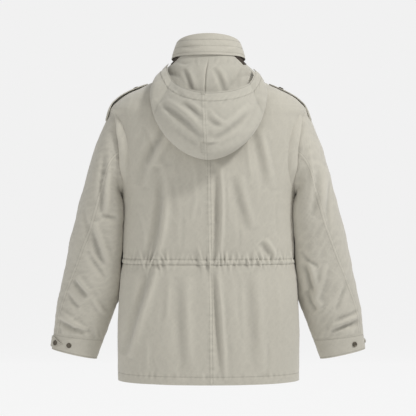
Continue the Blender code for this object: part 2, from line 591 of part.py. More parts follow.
def collar_grid():
    """Rows up the collar's inner layer, over its top fold and down to the zip line."""
    angle = np.linspace(-COLLAR_END, COLLAR_END, COLLAR_COLUMNS + 1)
    rows = [collar_points(angle, np.full_like(angle, share), np.full_like(angle, out))
            for share, out in INNER_LAYER[1:]]
    for share, out in OUTER_LAYER[1:]:
        height = zip_line(angle) + (1 - zip_line(angle)) * share
        rows.append(collar_points(angle, height, np.full_like(angle, out)))
    points = np.stack(rows)
    across = np.gradient(points, axis=1)
    along = np.gradient(points, axis=0)
    return points, unit(np.cross(across, along))


# ---------------------------------------------------------------- hood form
def hood_points(row, place):
    """Points on the hood: place is -1 at the right shoulder, 0 at the seam and 1 at the left."""
    def column(name):
        return read(HOOD, name, row)

    leaning = place + column("seam_lean") * (1 - place**2)
    sine, drop = oval(leaning * np.radians(column("wrap")), column("power"))
    low = np.clip(drop, 0, 1)
    x = column("half_width") * sine + column("shift") * low + column("end_shift") * (1 - low)
    y = column("side_y") + (column("back_y") - column("side_y")) * drop
    z = column("side_z") + (column("back_z") - column("side_z")) * drop
    z = z + column("end_rise") * sine * (1 - low)
    points = np.stack([x, y, z], axis=-1)
    ends = ease(HOOD_ENDS[0], HOOD_ENDS[1], np.abs(place))
    clearance = column("clear_back") + ends * (column("clear_end") - column("clear_back"))
    clear = lift_off_torso(points, clearance)
    points = points + ease(*HOOD_LAID_ROWS, row)[..., None] * (clear - points)
    angle = place * HOOD_HALF_ANGLE
    tucked = zip_line(angle) + HOOD_TUCK
    held = collar_points(angle, tucked, np.full_like(angle, HOOD_TUCK_OUT))
    hold = 1 - ease(0.0, COLLAR_HOLD_REACH, row)
    return points + hold[..., None] * (held - points)


def hood_grid(row, place):
    """Points and normals of a grid on the hood, with its folds."""
    row, place = np.broadcast_arrays(row, place)
    points = hood_points(row, place)
    normals = unit(np.cross(np.gradient(points, axis=1), np.gradient(points, axis=0)))
    outside = ease(*HOOD_OUTSIDE_ROWS, row)
    height = fold_height(points[..., 0], points[..., 2], HOOD_FOLDS) * outside
    sense = np.sign(np.sum(normals[..., 1] * outside))
    points = points + normals * (sense * height)[..., None]
    return points, normals


# ---------------------------------------------------------------- walls
def bridge(upper, lower):
    """Faces between two rows of vertex numbers, one of which may be cut finer."""
    count = min(len(upper), len(lower)) - 1
    up_step, low_step = (len(upper) - 1) // count, (len(lower) - 1) // count
    faces = []
    for i in range(count):
        first = upper[i * up_step:(i + 1) * up_step + 1]
        second = lower[i * low_step:(i + 1) * low_step + 1]
        faces.append(list(first) + list(reversed(second)))
    return faces


def pull_in(loop_points, loop_normals, towards, distance):
    """A closed loop moved across its own line, along the surface and to the panel's inside."""
    back = unit(loop_points - np.roll(loop_points, 1, axis=0))
    ahead = unit(np.roll(loop_points, -1, axis=0) - loop_points)
    first, second = unit(np.cross(loop_normals, back)), unit(np.cross(loop_normals, ahead))
    bisector = unit(first + second)
    sense = np.sign(np.sum(bisector * towards))
    stretch = 1 / np.maximum(np.sum(bisector * first, axis=-1, keepdims=True), 0.5)
    return loop_points + sense * bisector * stretch * distance


def boundary(counts, closed):
    """Loops of (row, column) round the edge of a grid with rows of the given lengths."""
    last = len(counts) - 1
    if closed:
        return [[(0, j) for j in range(counts[0])], [(last, j) for j in range(counts[last])]]
    loop = [(0, j) for j in range(counts[0])]
    loop += [(i, counts[i] - 1) for i in range(1, last)]
    loop += [(last, j) for j in reversed(range(counts[last]))]
    loop += [(i, 0) for i in range(last - 1, 0, -1)]
    return [loop]


def wall_mesh(name, rows, normals, thickness, closed=False, seam=SEAM):
    """A closed wall on both sides of the rows, pulled in from its seams."""
    rows = [np.array(row, dtype=float) for row in rows]
    counts = [len(row) for row in rows]
    loops = boundary(counts, closed)
    for loop in loops:
        edge = np.array([rows[i][j] for i, j in loop])
        edge_normals = np.array([normals[i][j] for i, j in loop])
        inside = []
        for i, j in loop:
            near = min(max(i, 1), len(rows) - 2)
            column = round(j * (counts[near] - 1) / (counts[i] - 1))
            column = column if closed else min(max(column, 1), counts[near] - 2)
            inside.append(rows[near][column])
        moved = pull_in(edge, edge_normals, np.array(inside) - edge, seam / 2)
        for (i, j), point in zip(loop, moved):
            rows[i][j] = point
    starts = np.concatenate([[0], np.cumsum(counts)])
    outer = [row + normal * thickness / 2 for row, normal in zip(rows, normals)]
    inner = [row - normal * thickness / 2 for row, normal in zip(rows, normals)]
    faces = []
    for i in range(len(rows) - 1):
        upper = list(range(starts[i], starts[i] + counts[i]))
        lower = list(range(starts[i + 1], starts[i + 1] + counts[i + 1]))
        if closed:
            upper.append(upper[0])
            lower.append(lower[0])
        for face in bridge(upper, lower):
            faces.append(face)
            faces.append([starts[-1] + v for v in reversed(face)])
    for loop in loops:
        ring = [int(starts[i] + j) for i, j in loop]
        for a, b in zip(ring, ring[1:] + ring[:1]):
            faces.append([b, a, int(starts[-1]) + a, int(starts[-1]) + b])
    mesh = bpy.data.meshes.new(name)
    points = np.concatenate(outer + inner)
    mesh.from_pydata([tuple(p) for p in points], [], [[int(v) for v in face] for face in faces])
    face_out(mesh)
    return mesh


def face_out(mesh):
    """All faces of a closed mesh turned to the outside."""
    shape = bmesh.new()
    shape.from_mesh(mesh)
    bmesh.ops.recalc_face_normals(shape, faces=shape.faces)
    shape.to_mesh(mesh)
    shape.free()


# ---------------------------------------------------------------- objects
def material(name, colour, roughness, metallic=0.0):
    """A plain finish."""
    made = bpy.data.materials.new(name)
    made.use_nodes = True
    shader = made.node_tree.nodes["Principled BSDF"]
    shader.inputs["Base Color"].default_value = (*COLOURS[colour], 1.0)
    shader.inputs["Roughness"].default_value = roughness
    shader.inputs["Metallic"].default_value = metallic
    return made


def add(collection, name, mesh, colour="cloth", roughness=0.9, metallic=0.0):
    """An object of a mesh with its own finish."""
    piece = bpy.data.objects.new(name, mesh)
    piece.data.materials.append(material(name, colour, roughness, metallic))
    collection.objects.link(piece)
    return piece


def body_rows():
    """Heights of the body's rows, and which of them are cut finer for the gathers."""
    middle = (SHOULDER_POINT_Z + UNDERARM_Z) / 2
    half = (SHOULDER_POINT_Z - UNDERARM_Z) / 2
    armhole = [middle + half * math.cos(k * math.pi / ARMHOLE_STEPS) for k in range(ARMHOLE_STEPS + 1)]
    rows = list(SHOULDER_ROWS) + armhole + list(UPPER_BODY_ROWS) + list(GATHER_ROWS) + list(LOWER_BODY_ROWS)
    return np.array(rows), [z in GATHER_ROWS for z in rows]


def half_shares(facing):
    """Shares of the half width at which a body panel has its plain columns."""
    if facing < 0:
        return np.linspace(0, 1, FRONT_COLUMNS + 1)
    plain = np.linspace(0, PLEAT_START, BACK_COLUMNS + 1)
    pleat = np.linspace(PLEAT_START, 1, PLEAT_COLUMNS + 1)
    return np.concatenate([plain, pleat[1:]])


def body_forms():
    """Fine grids over the back and the front, from the left side to the right."""
    heights, _ = body_rows()
    forms = {}
    for facing in (1, -1):
        half = refine(half_shares(facing), FINE)
        share = np.concatenate([half[::-1], -half[1:]])
        plain = BACK_COLUMNS / PLEAT_START if facing > 0 else FRONT_COLUMNS
        forms[facing] = torso_grid(facing, share[None, :], heights[:, None], plain)
    return forms


def sleeve_forms():
    """Ringed grids of both sleeves and cuffs."""
    at = np.array(SLEEVE_RINGS + CUFF_RINGS[1:])
    return {side: sleeve_grid(side, at, sleeve_angles(at)) for side in ("left", "right")}


def share_normals(forms, sleeves):
    """One normal for both pieces along the shoulder, armhole, side and sleeve-head seams."""
    back_normals, front_normals = forms[1][1], forms[-1][1]
    heights, _ = body_rows()
    first = len(SHOULDER_ROWS)
    for side, edge in (("left", 0), ("right", -1)):
        head = sleeves[side][1][0]
        for i in range(len(back_normals)):
            k = i - first
            in_armhole = 0 <= k <= ARMHOLE_STEPS
            column = (-k) % (2 * ARMHOLE_STEPS)
            sharing = [back_normals[i, edge], front_normals[i, edge]]
            if not in_armhole:
                joined = unit(sharing[0] + sharing[1])
                back_normals[i, edge] = front_normals[i, edge] = joined
            elif k in (0, ARMHOLE_STEPS):
                joined = unit(unit(sharing[0] + sharing[1]) + head[k])
                back_normals[i, edge] = front_normals[i, edge] = head[k] = joined
            else:
                front_normals[i, edge] = head[column] = unit(sharing[1] + head[column])
                if pleat_opening(heights[i]) < PLEAT_SHARES:
                    back_normals[i, edge] = head[k] = unit(sharing[0] + head[k])


def add_body(collection, forms):
    """Back and front halves; the gathered rows have more columns."""
    _, gathered = body_rows()
    names = {1: "back", -1: "front"}
    for facing, (points, normals) in forms.items():
        middle = (points.shape[1] - 1) // 2
        for side, part in (("left", slice(0, middle + 1)), ("right", slice(middle, None))):
            rows, row_normals = [], []
            for i, fine in enumerate(gathered):
                step = 1 if fine else FINE
                rows.append(points[i, part][::step])
                row_normals.append(normals[i, part][::step])
            name = f"{names[facing]}_{side}"
            add(collection, name, wall_mesh(name, rows, row_normals, CLOTH))


def add_sleeves(collection, sleeves):
    """Upper sleeve, under sleeve and cuff of each arm."""
    rings = len(SLEEVE_RINGS)
    round_columns = 2 * ARMHOLE_STEPS
    upper = [c % round_columns for c in range(INNER_COLUMN, round_columns + ELBOW_COLUMN + 1)]
    under = list(range(ELBOW_COLUMN, INNER_COLUMN + 1))
    for side, (points, normals) in sleeves.items():
        for name, columns in ((f"sleeve_upper_{side}", upper), (f"sleeve_under_{side}", under)):
            mesh = wall_mesh(name, points[:rings, columns], normals[:rings, columns], CLOTH)
            add(collection, name, mesh, "sleeve")
        name = f"cuff_{side}"
        mesh = wall_mesh(name, points[rings - 1:], normals[rings - 1:], DOUBLE, closed=True)
        add(collection, name, mesh, "sleeve")


def add_collar(collection):
    """Folded collar, and the zip tape where it shows beside the hood."""
    points, normals = collar_grid()
    add(collection, "collar", wall_mesh("collar", points, normals, ZIP_WALL))
    for side, sign in (("left", 1), ("right", -1)):
        angle = sign * np.linspace(ZIP_ANGLES[0], ZIP_ANGLES[1], ZIP_COLUMNS + 1)
        heights = (zip_line(angle) + HOOD_TUCK, zip_line(angle) - ZIP_DROP / 2, zip_line(angle) - ZIP_DROP)
        tape = np.stack([collar_points(angle, h, np.full_like(angle, ZIP_TUCK_OUT)) for h in heights])
        outward = tape * np.array([1.0, 1.0, 0.0])
        name = f"collar_zip_{side}"
        mesh = wall_mesh(name, tape, grid_normals(tape, outward), ZIP_WALL)
        add(collection, name, mesh, "zip", 0.5)


def add_hood(collection):
    """Two halves of the hood, sewn along the centre."""
    half = np.array(HOOD_COLUMNS)
    place = np.concatenate([half[::-1], -half[1:]])
    points, normals = hood_grid(np.array(HOOD_ROWS)[:, None], place[None, :])
    for side, part in (("left", slice(0, len(half))), ("right", slice(len(half) - 1, None))):
        name = f"hood_{side}"
        add(collection, name, wall_mesh(name, points[:, part], normals[:, part], CLOTH), "hood")


def add_snap(collection, name, place, normal):
    """A ring snap, turned from its profile and seated on the cloth."""
    profile = bpy.data.meshes.new(name)
    steps = [(i, i + 1) for i in range(len(SNAP_PROFILE) - 1)]
    profile.from_pydata([(r, 0, z) for r, z in SNAP_PROFILE], steps, [])
    snap = add(collection, name, profile, "snap", 0.4, 1.0)
    screw = snap.modifiers.new("Turn", "SCREW")
    screw.steps = screw.render_steps = SNAP_STEPS
    screw.use_merge_vertices = True
    screw.merge_threshold = 0.0001
    snap.location = Vector(place + normal * SNAP_SEAT)
    snap.rotation_mode = "QUATERNION"
    snap.rotation_quaternion = Vector(normal).to_track_quat("Z", "Y")


def placket_grid(rows, columns):
    """Points and normals on the front, under the placket."""
    z = np.linspace(PLACKET_Z[0], PLACKET_Z[1], rows)[:, None]
    x = np.linspace(PLACKET_X[0], PLACKET_X[1], columns + 1)[None, :]
    return front_surface(x, z)


def front_surface(x, z):
    """The front's own surface at places x, z."""
    x, z = np.broadcast_arrays(x, z)
    half, depth, power = torso_section(-1, z)
    y = -depth * (1 - (np.abs(x) / half)**power) ** (1 / power)
    points = np.stack([x, y, z], axis=-1)
    share = torso_share(-1, x, z)
    outward = np.broadcast_to(np.array([0.0, -1.0, 0.0]), points.shape)
    normals = grid_normals(points, outward)
    points = points + normals * torso_relief(-1, share, points, 0)[..., None]
    return points, grid_normals(points, outward)


def add_placket(collection):
    """Placket over the front closure, with its snaps."""
    points, normals = placket_grid(PLACKET_ROWS, PLACKET_COLUMNS)
    rise = CLOTH / 2 + PLACKET_LAY + DOUBLE / 2
    mesh = wall_mesh("placket", points + normals * rise, normals, DOUBLE)
    add(collection, "placket", mesh)
    for i, z in enumerate(np.linspace(*PLACKET_SNAP_Z, PLACKET_SNAPS)):
        x = PLACKET_SNAP_X + FRONT_NUDGE * np.array([[-1.0, 0.0, 1.0]])
        seat, normal = front_surface(x, z + FRONT_NUDGE * np.array([[1.0], [0.0], [-1.0]]))
        place = seat[1, 1] + normal[1, 1] * (rise + DOUBLE / 2)
        add_snap(collection, f"placket_snap_{i + 1}", place, normal[1, 1])


def cuff_place(side, at, angle, out):
    """Point and normal a distance outside the sleeve's or cuff's middle surface."""
    around = np.radians(angle) + CUFF_NUDGE * np.array([[-1.0, 0.0, 1.0]])
    along = at + CUFF_NUDGE * np.array([[-1.0], [0.0], [1.0]])
    points = sleeve_points(along, around + 0 * along)
    whole = sleeve_points(np.array([[at]]), sleeve_angles(np.array([at])))
    normals = grid_normals(points, points - whole.mean(axis=1, keepdims=True))
    mirror = np.array([1.0 if side == "left" else -1.0, 1.0, 1.0])
    return (points[1, 1] + normals[1, 1] * out) * mirror, normals[1, 1] * mirror


def tab_half_heights():
    """Half height of a tab along its columns, as a share: full, then narrowing to its point."""
    column = np.arange(TAB_COLUMNS + 1)
    return np.clip((TAB_COLUMNS - column) / TAB_POINT_COLUMNS, TAB_TIP, 1.0)


def add_cuff_tabs(collection):
    """Pointed tab on each cuff with its snap, and the spare snap."""
    middle = (1.0 + CUFF_END) / 2
    rise = DOUBLE / 2 + TAB_LAY + DOUBLE / 2
    for side in ("left", "right"):
        angles = np.linspace(*TAB_ANGLES[side], TAB_COLUMNS + 1)
        half = tab_half_heights() * TAB_HALF_HEIGHT
        places = [[cuff_place(side, middle + row * h, angle, rise) for angle, h in zip(angles, half)]
                  for row in TAB_ROWS]
        points = np.array([[spot[0] for spot in row] for row in places])
        normals = np.array([[spot[1] for spot in row] for row in places])
        name = f"cuff_tab_{side}"
        add(collection, name, wall_mesh(name, points, normals, DOUBLE), "sleeve")
        top = rise + DOUBLE / 2
        add_snap(collection, f"tab_snap_{side}", *cuff_place(side, CUFF_SNAP_AT, TAB_SNAP_ANGLE[side], top))
        seat = DOUBLE / 2 - SPARE_SNAP_SINK[side]
        spare = cuff_place(side, CUFF_SNAP_AT, SPARE_SNAP_ANGLE[side], seat)
        add_snap(collection, f"spare_snap_{side}", *spare)


def strap_grid(side):
    """Points and normals of a shoulder strap, moved out from the shoulder and the sleeve head."""
    rows = []
    across = np.linspace(-1, 1, STRAP_COLUMNS + 1)
    for z, half in zip(STRAP_BODY_Z, STRAP_HALF_WIDTHS):
        y = across * half
        rows.append(np.stack([torso_half_width_at(y, np.full_like(y, z)), y, np.full_like(y, z)], axis=-1))
    for at, half in zip(STRAP_SLEEVE_AT, STRAP_HALF_WIDTHS[len(STRAP_BODY_Z):]):
        angle = np.arcsin(across * half / ARMHOLE_HALF_DEPTH)
        rows.append(sleeve_points(np.full_like(angle, at), angle))
    points = np.stack(rows)
    normals = grid_normals(points, np.broadcast_to(np.array([0.5, 0.0, 1.0]), points.shape))
    along = np.linspace(0, 1, len(points))[:, None, None]
    arch = STRAP_ARCH[side] * np.sin(np.pi * along)
    points = points + normals * (CLOTH / 2 + STRAP_LAY + DOUBLE / 2 + arch)
    mirror = np.array([1.0 if side == "left" else -1.0, 1.0, 1.0])
    return points * mirror, grid_normals(points, normals) * mirror


def add_straps(collection):
    """Shoulder straps with their snaps."""
    for side in ("left", "right"):
        points, normals = strap_grid(side)
        name = f"shoulder_strap_{side}"
        add(collection, name, wall_mesh(name, points, normals, DOUBLE))
        row = 1
        middle = STRAP_COLUMNS // 2
        place = (points[row, middle] + points[row + 1, middle]) / 2
        normal = unit(normals[row, middle] + normals[row + 1, middle])
        add_snap(collection, f"strap_snap_{side}", place + normal * DOUBLE / 2, normal)


def main():
    """Builds the jacket."""
    for leftover in list(bpy.data.objects):
        bpy.data.objects.remove(leftover)
    collection = bpy.data.collections.new("field_jacket")
    bpy.context.scene.collection.children.link(collection)
    forms = body_forms()
    sleeves = sleeve_forms()
    share_normals(forms, sleeves)
    add_body(collection, forms)
    add_sleeves(collection, sleeves)
    add_collar(collection)
    add_hood(collection)
    add_placket(collection)
    add_cuff_tabs(collection)
    add_straps(collection)


main()
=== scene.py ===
"""Looks of the hooded cotton field jacket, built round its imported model.

The cloth pieces are thin shells on the same form as the solids, sampled finely, with creases,
gathers, seams and stitches. Metres, +Z up; the back faces +Y.
"""
import math

import bpy
import numpy as np
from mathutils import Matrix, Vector

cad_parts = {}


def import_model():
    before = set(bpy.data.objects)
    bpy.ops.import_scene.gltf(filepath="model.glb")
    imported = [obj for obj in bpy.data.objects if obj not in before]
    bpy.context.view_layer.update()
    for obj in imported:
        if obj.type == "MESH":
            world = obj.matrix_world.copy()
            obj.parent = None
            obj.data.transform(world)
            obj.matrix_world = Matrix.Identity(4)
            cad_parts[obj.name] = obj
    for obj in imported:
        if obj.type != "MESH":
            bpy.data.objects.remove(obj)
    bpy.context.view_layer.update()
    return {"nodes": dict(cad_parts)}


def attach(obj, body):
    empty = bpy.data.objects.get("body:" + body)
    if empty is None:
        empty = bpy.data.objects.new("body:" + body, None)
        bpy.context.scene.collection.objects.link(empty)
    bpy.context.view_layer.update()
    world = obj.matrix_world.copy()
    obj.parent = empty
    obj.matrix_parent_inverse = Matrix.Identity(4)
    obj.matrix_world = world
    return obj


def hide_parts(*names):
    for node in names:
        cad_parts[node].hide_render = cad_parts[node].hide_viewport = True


# ---------------------------------------------------------------- cloth and sides
LEVEL = np.array([1.0, 1.0, 0.0])   # takes the height out of a direction
TINY = 1e-12                # keeps a length that divides from being nothing
SIDES = {"left": 1.0, "right": -1.0}
CLOTH = 0.0014              # wall of one layer of heavy cotton
DOUBLE = 0.0022             # wall of a piece sewn double

# ---------------------------------------------------------------- torso
TORSO = (
    ("z", "edge_x", "back_depth", "front_depth", "power"),
    (0.000, 0.0800, 0.083, 0.060, 2.00),
    (-0.012, 0.1040, 0.088, 0.064, 2.05),
    (-0.025, 0.1340, 0.093, 0.070, 2.10),
    (-0.038, 0.1600, 0.098, 0.076, 2.15),
    (-0.058, 0.2020, 0.107, 0.083, 2.25),
    (-0.078, 0.2290, 0.114, 0.090, 2.30),
    (-0.088, 0.2380, 0.117, 0.093, 2.35),
    (-0.115, 0.2268, 0.123, 0.102, 2.40),
    (-0.150, 0.2130, 0.128, 0.112, 2.40),
    (-0.200, 0.2035, 0.130, 0.121, 2.40),
    (-0.250, 0.2035, 0.130, 0.125, 2.40),
    (-0.290, 0.2098, 0.128, 0.127, 2.40),
    (-0.312, 0.2140, 0.127, 0.127, 2.40),
    (-0.335, 0.2124, 0.125, 0.126, 2.40),
    (-0.390, 0.2120, 0.121, 0.123, 2.40),
    (-0.4635, 0.2140, 0.117, 0.119, 2.40),
    (-0.550, 0.2205, 0.121, 0.121, 2.35),
    (-0.650, 0.2245, 0.121, 0.121, 2.25),
    (-0.762, 0.2235, 0.118, 0.118, 2.12),
)
SHOULDER_POINT_Z = -0.088
UNDERARM_Z = -0.312
ARMHOLE_MIDDLE_Z = (SHOULDER_POINT_Z + UNDERARM_Z) / 2
ARMHOLE_HALF_DEPTH = 0.078   # half of the armhole, front to back
FRONT_NECK_DROP = 0.065      # how far the neckline falls at the centre front
NECK_DROP_ANGLE = 24.0       # degrees from the centre front over which it falls
NECK_DROP_POWER = 1.6
NECK_DROP_REACH = 0.300      # height over which the front's rows follow the neckline
WAIST_Z = -0.4635
HEM_Z = -0.762

ARMHOLE_STEPS = 70

BACK_COLUMNS = 98            # over half the back, up to where the action pleat leaves it
SEAM_X = (-0.0034, -0.0126)    # the centre back seam's place at the neck and at the hem
PLEAT_START = 0.90
FRONT_COLUMNS = 84           # over half the front

# The action pleat laps past the armhole seam and folds back to it. Out is along X from the
# seam, lift is away from the sleeve.
PLEAT = (
    ("step", "out", "lift"),
    (0.0, -0.0115, 0.0098),
    (1.0, -0.0060, 0.0112),
    (2.0, 0.0012, 0.0110),
    (3.0, 0.0082, 0.0098),
    (4.0, 0.0125, 0.0076),
    (5.0, 0.0092, 0.0052),
    (6.0, 0.0, 0.0),
)
PLEAT_COLUMNS = 6
PLEAT_EASE = 2.2             # steps over which it leaves the back's plain form
PLEAT_TOP = (-0.094, -0.165)       # heights between which the pleat opens
PLEAT_FOOT = (-0.2906, -0.228)      # heights between which it closes again
PLEAT_LAP = 0.0021           # height of its sewn edge over the sleeve's
PLEAT_SHARES = 0.12          # up to this opening its edge meets the sleeve's edge to edge
PLEAT_LAPPED = 0.25          # share of its opening from which the edge laps over the sleeve's

# ---------------------------------------------------------------- folds
# A fold has a name, three X, Z places of its quadratic curve as seen from behind or in front,
# a width and a height. A positive height raises its left bank, as seen along the curve, and
# sinks the other.
FOLDS = {
    "back": (
        ("long fold above the waist", 0.1065, -0.236, 0.106, -0.385, 0.1376, -0.466, 0.015, -0.005),
        ("long fold below the waist", 0.1328, -0.48, 0.156, -0.56, 0.2, -0.7, 0.016, -0.0056),
        ("centre fold above the waist", -0.0215, -0.23, -0.033, -0.345, -0.019, -0.466, 0.01, -0.0032),
        ("centre fold below the waist", -0.015, -0.48, -0.027, -0.59, -0.035, -0.755, 0.01, -0.0032),
        ("left shoulder drag", 0.1376, -0.236, 0.12, -0.18, 0.0897, -0.138, 0.014, 0.0022),
        ("left armhole drag", 0.162, -0.285, 0.15, -0.23, 0.1185, -0.174, 0.014, 0.0026),
        ("right armhole drag", -0.1161, -0.146, -0.129, -0.21, -0.1448, -0.294, 0.014, -0.0024),
        ("right back", -0.0658, -0.258, -0.08, -0.33, -0.1017, -0.39, 0.014, -0.0022),
        ("right waist", -0.1304, -0.414, -0.145, -0.432, -0.1591, -0.466, 0.01, -0.0026),
        ("right skirt", -0.105, -0.49, -0.113, -0.59, -0.12, -0.74, 0.018, -0.0028),
        ("left skirt", 0.06, -0.5, 0.064, -0.61, 0.05, -0.745, 0.018, -0.0024),
    ),
    "front": (
        ("left chest drag", 0.17, -0.29, 0.135, -0.24, 0.105, -0.17, 0.014, 0.0024),
        ("right chest drag", -0.175, -0.3, -0.14, -0.23, -0.1, -0.16, 0.014, -0.0026),
        ("left front", 0.102, -0.26, 0.108, -0.37, 0.125, -0.46, 0.015, -0.0038),
        ("right front", -0.095, -0.28, -0.102, -0.38, -0.115, -0.46, 0.014, 0.0032),
        ("left skirt", 0.118, -0.485, 0.135, -0.59, 0.155, -0.74, 0.016, -0.004),
        ("right skirt", -0.11, -0.49, -0.125, -0.6, -0.14, -0.745, 0.016, 0.004),
    ),
    "sleeve back": (
        ("left upper", 0.2447, -0.2, 0.253, -0.27, 0.252, -0.35, 0.01, -0.003),
        ("left elbow", 0.2837, -0.371, 0.268, -0.425, 0.25, -0.476, 0.011, -0.0034),
        ("left forearm", 0.33, -0.508, 0.315, -0.53, 0.292, -0.552, 0.01, -0.0034),
        ("left cuff", 0.376, -0.61, 0.34, -0.625, 0.302, -0.646, 0.01, -0.004),
        ("right upper", -0.275, -0.23, -0.276, -0.3, -0.26, -0.36, 0.012, -0.0028),
        ("right elbow", -0.2374, -0.468, -0.25, -0.5, -0.2618, -0.561, 0.011, -0.0034),
        ("right inner", -0.2447, -0.537, -0.256, -0.565, -0.2739, -0.585, 0.01, -0.0038),
        ("right cuff", -0.376, -0.612, -0.34, -0.622, -0.3, -0.64, 0.01, 0.0034),
    ),
    "sleeve front": (
        ("left bend", 0.25, -0.395, 0.285, -0.42, 0.32, -0.425, 0.012, 0.0034),
        ("left forearm", 0.265, -0.52, 0.3, -0.545, 0.34, -0.545, 0.011, -0.003),
        ("left cuff", 0.3, -0.64, 0.335, -0.625, 0.37, -0.615, 0.01, 0.0034),
        ("right bend", -0.25, -0.39, -0.285, -0.41, -0.32, -0.42, 0.012, -0.0034),
        ("right forearm", -0.262, -0.51, -0.3, -0.535, -0.34, -0.54, 0.011, 0.003),
        ("right cuff", -0.3, -0.642, -0.335, -0.628, -0.37, -0.612, 0.01, -0.0034),
    ),
    "hood": (
        ("left short", 0.064, -0.082, 0.035, -0.096, 0.0117, -0.126, 0.008, -0.0038),
        ("left long", 0.11, -0.084, 0.062, -0.11, 0.0106, -0.17, 0.011, -0.0058),
        ("right upper", 0.0012, -0.119, -0.016, -0.138, -0.04, -0.142, 0.008, -0.0028),
        ("right long", -0.0073, -0.168, -0.05, -0.15, -0.103, -0.094, 0.011, -0.0044),
        ("low crease", 0.018, -0.183, 0.0, -0.186, -0.025, -0.18, 0.005, -0.002),
    ),
}
FOLD_STEPS = 12              # straight steps along a fold's curve
FOLD_BANK = 0.7              # place of a fold's banks, in widths
FOLD_SHARPNESS = 1.6
FOLD_FADE_POWER = 0.7

WAIST_CINCH = 0.0030         # how far the drawcord pulls the cloth in
CINCH_REACH = 0.022

# ---------------------------------------------------------------- sleeves
# A section of the left sleeve runs from an inner to an outer place in X, Z. Ring is the share
# of the armhole's own outline, and the seams are angles from the outer side over the back.
SLEEVE = (
    ("at", "in_x", "in_z", "out_x", "out_z", "mid_y", "half_depth", "power", "ring",
     "elbow_seam", "inner_seam"),
    (0.00, 0.2140, -0.3120, 0.2380, -0.0880, 0.000, 0.078, 2.00, 1.0, 90, 252),
    (0.05, 0.2168, -0.3118, 0.2555, -0.1180, 0.000, 0.080, 2.05, 0.5, 90, 252),
    (0.12, 0.2100, -0.3175, 0.2770, -0.1730, -0.002, 0.083, 2.10, 0.1, 89, 252),
    (0.20, 0.2030, -0.3290, 0.2955, -0.2400, -0.004, 0.086, 2.15, 0.0, 87, 252),
    (0.30, 0.1990, -0.3520, 0.3150, -0.3080, -0.008, 0.088, 2.20, 0.0, 84, 251),
    (0.40, 0.2000, -0.3920, 0.3310, -0.3680, -0.013, 0.086, 2.20, 0.0, 80, 251),
    (0.50, 0.2020, -0.4400, 0.3430, -0.4140, -0.018, 0.081, 2.20, 0.0, 72, 251),
    (0.60, 0.2060, -0.4900, 0.3525, -0.4620, -0.023, 0.075, 2.20, 0.0, 63, 250),
    (0.70, 0.2150, -0.5400, 0.3628, -0.5090, -0.028, 0.068, 2.20, 0.0, 54, 250),
    (0.80, 0.2330, -0.5850, 0.3730, -0.5540, -0.032, 0.060, 2.15, 0.0, 47, 250),
    (0.90, 0.2480, -0.6260, 0.3825, -0.6030, -0.035, 0.052, 2.10, 0.0, 42, 250),
    (1.00, 0.2630, -0.6640, 0.3870, -0.6500, -0.037, 0.042, 2.00, 0.0, 40, 250),
    (1.12, 0.2805, -0.7140, 0.3925, -0.6890, -0.038, 0.038, 2.00, 0.0, 40, 250),
)
CUFF_END = 1.12
ELBOW_COLUMN = 35            # of the twice ARMHOLE_STEPS columns round the arm
INNER_COLUMN = 98
SLEEVE_FOLDS_FACE = (0.1, 0.5)   # how far the cloth faces back or front where folds begin
SLEEVE_CALM_HEAD = (0.0, 0.12)   # no folds at the seams of the head and the cuff
SLEEVE_CALM_END = (1.0, 0.95)
SLEEVE_CLEARANCE = 0.0028    # from the middle of the side's wall to that of the sleeve's

# ---------------------------------------------------------------- collar
COLLAR_INSET = 0.0034        # the collar's foot stands this far inside the neckline
COLLAR_FOOT = 0.0006         # and this far below it
COLLAR_TOP_HALF_WIDTH = 0.0778
COLLAR_TOP_BACK = 0.0695
COLLAR_TOP_FRONT = 0.0680
COLLAR_FRONT_Z = 0.012       # top edge at the centre front
COLLAR_BACK_Z = 0.0874       # top edge at the centre back
COLLAR_TOP_POWER = 0.50
COLLAR_BULGE = 0.0075
COLLAR_BULGE_POWER = 0.75
COLLAR_END = 179.2           # degrees from the centre back
ZIP_LINE_BACK = 0.39         # height of the zip line as a share of the collar's height
ZIP_LINE_FRONT = 0.58
INNER_LAYER = (              # share of the height, and how far out
    (0.00, 0.0),
    (0.25, 0.0),
    (0.50, 0.0),
    (0.76, 0.0),
    (0.97, 0.0004),
    (1.00, 0.0015),
)
OUTER_LAYER = (
    (0.96, 0.0026),
    (0.66, 0.0044),
    (0.30, 0.0058),
    (0.00, 0.0068),
)
HOOD_TUCK_OUT = 0.0026       # the hood and the zip tape hang between the collar's two layers
HOOD_TUCK = 0.06             # share of the collar's height that they reach above the zip line
ZIP_TUCK_OUT = 0.0018        # the tape lies closer to the inner layer
HOOD_HALF_ANGLE = 53.0       # degrees of the collar that the hood fills, each side
ZIP_ANGLES = (58.0, 124.0)
# The dark tape reaches below the zip itself, as painted shade of the neck's inside.
ZIP_DROP_WITH_PAINTED_SHADE = 0.16              # share of the collar's height that the zip tape shows
ZIP_WALL = 0.0012

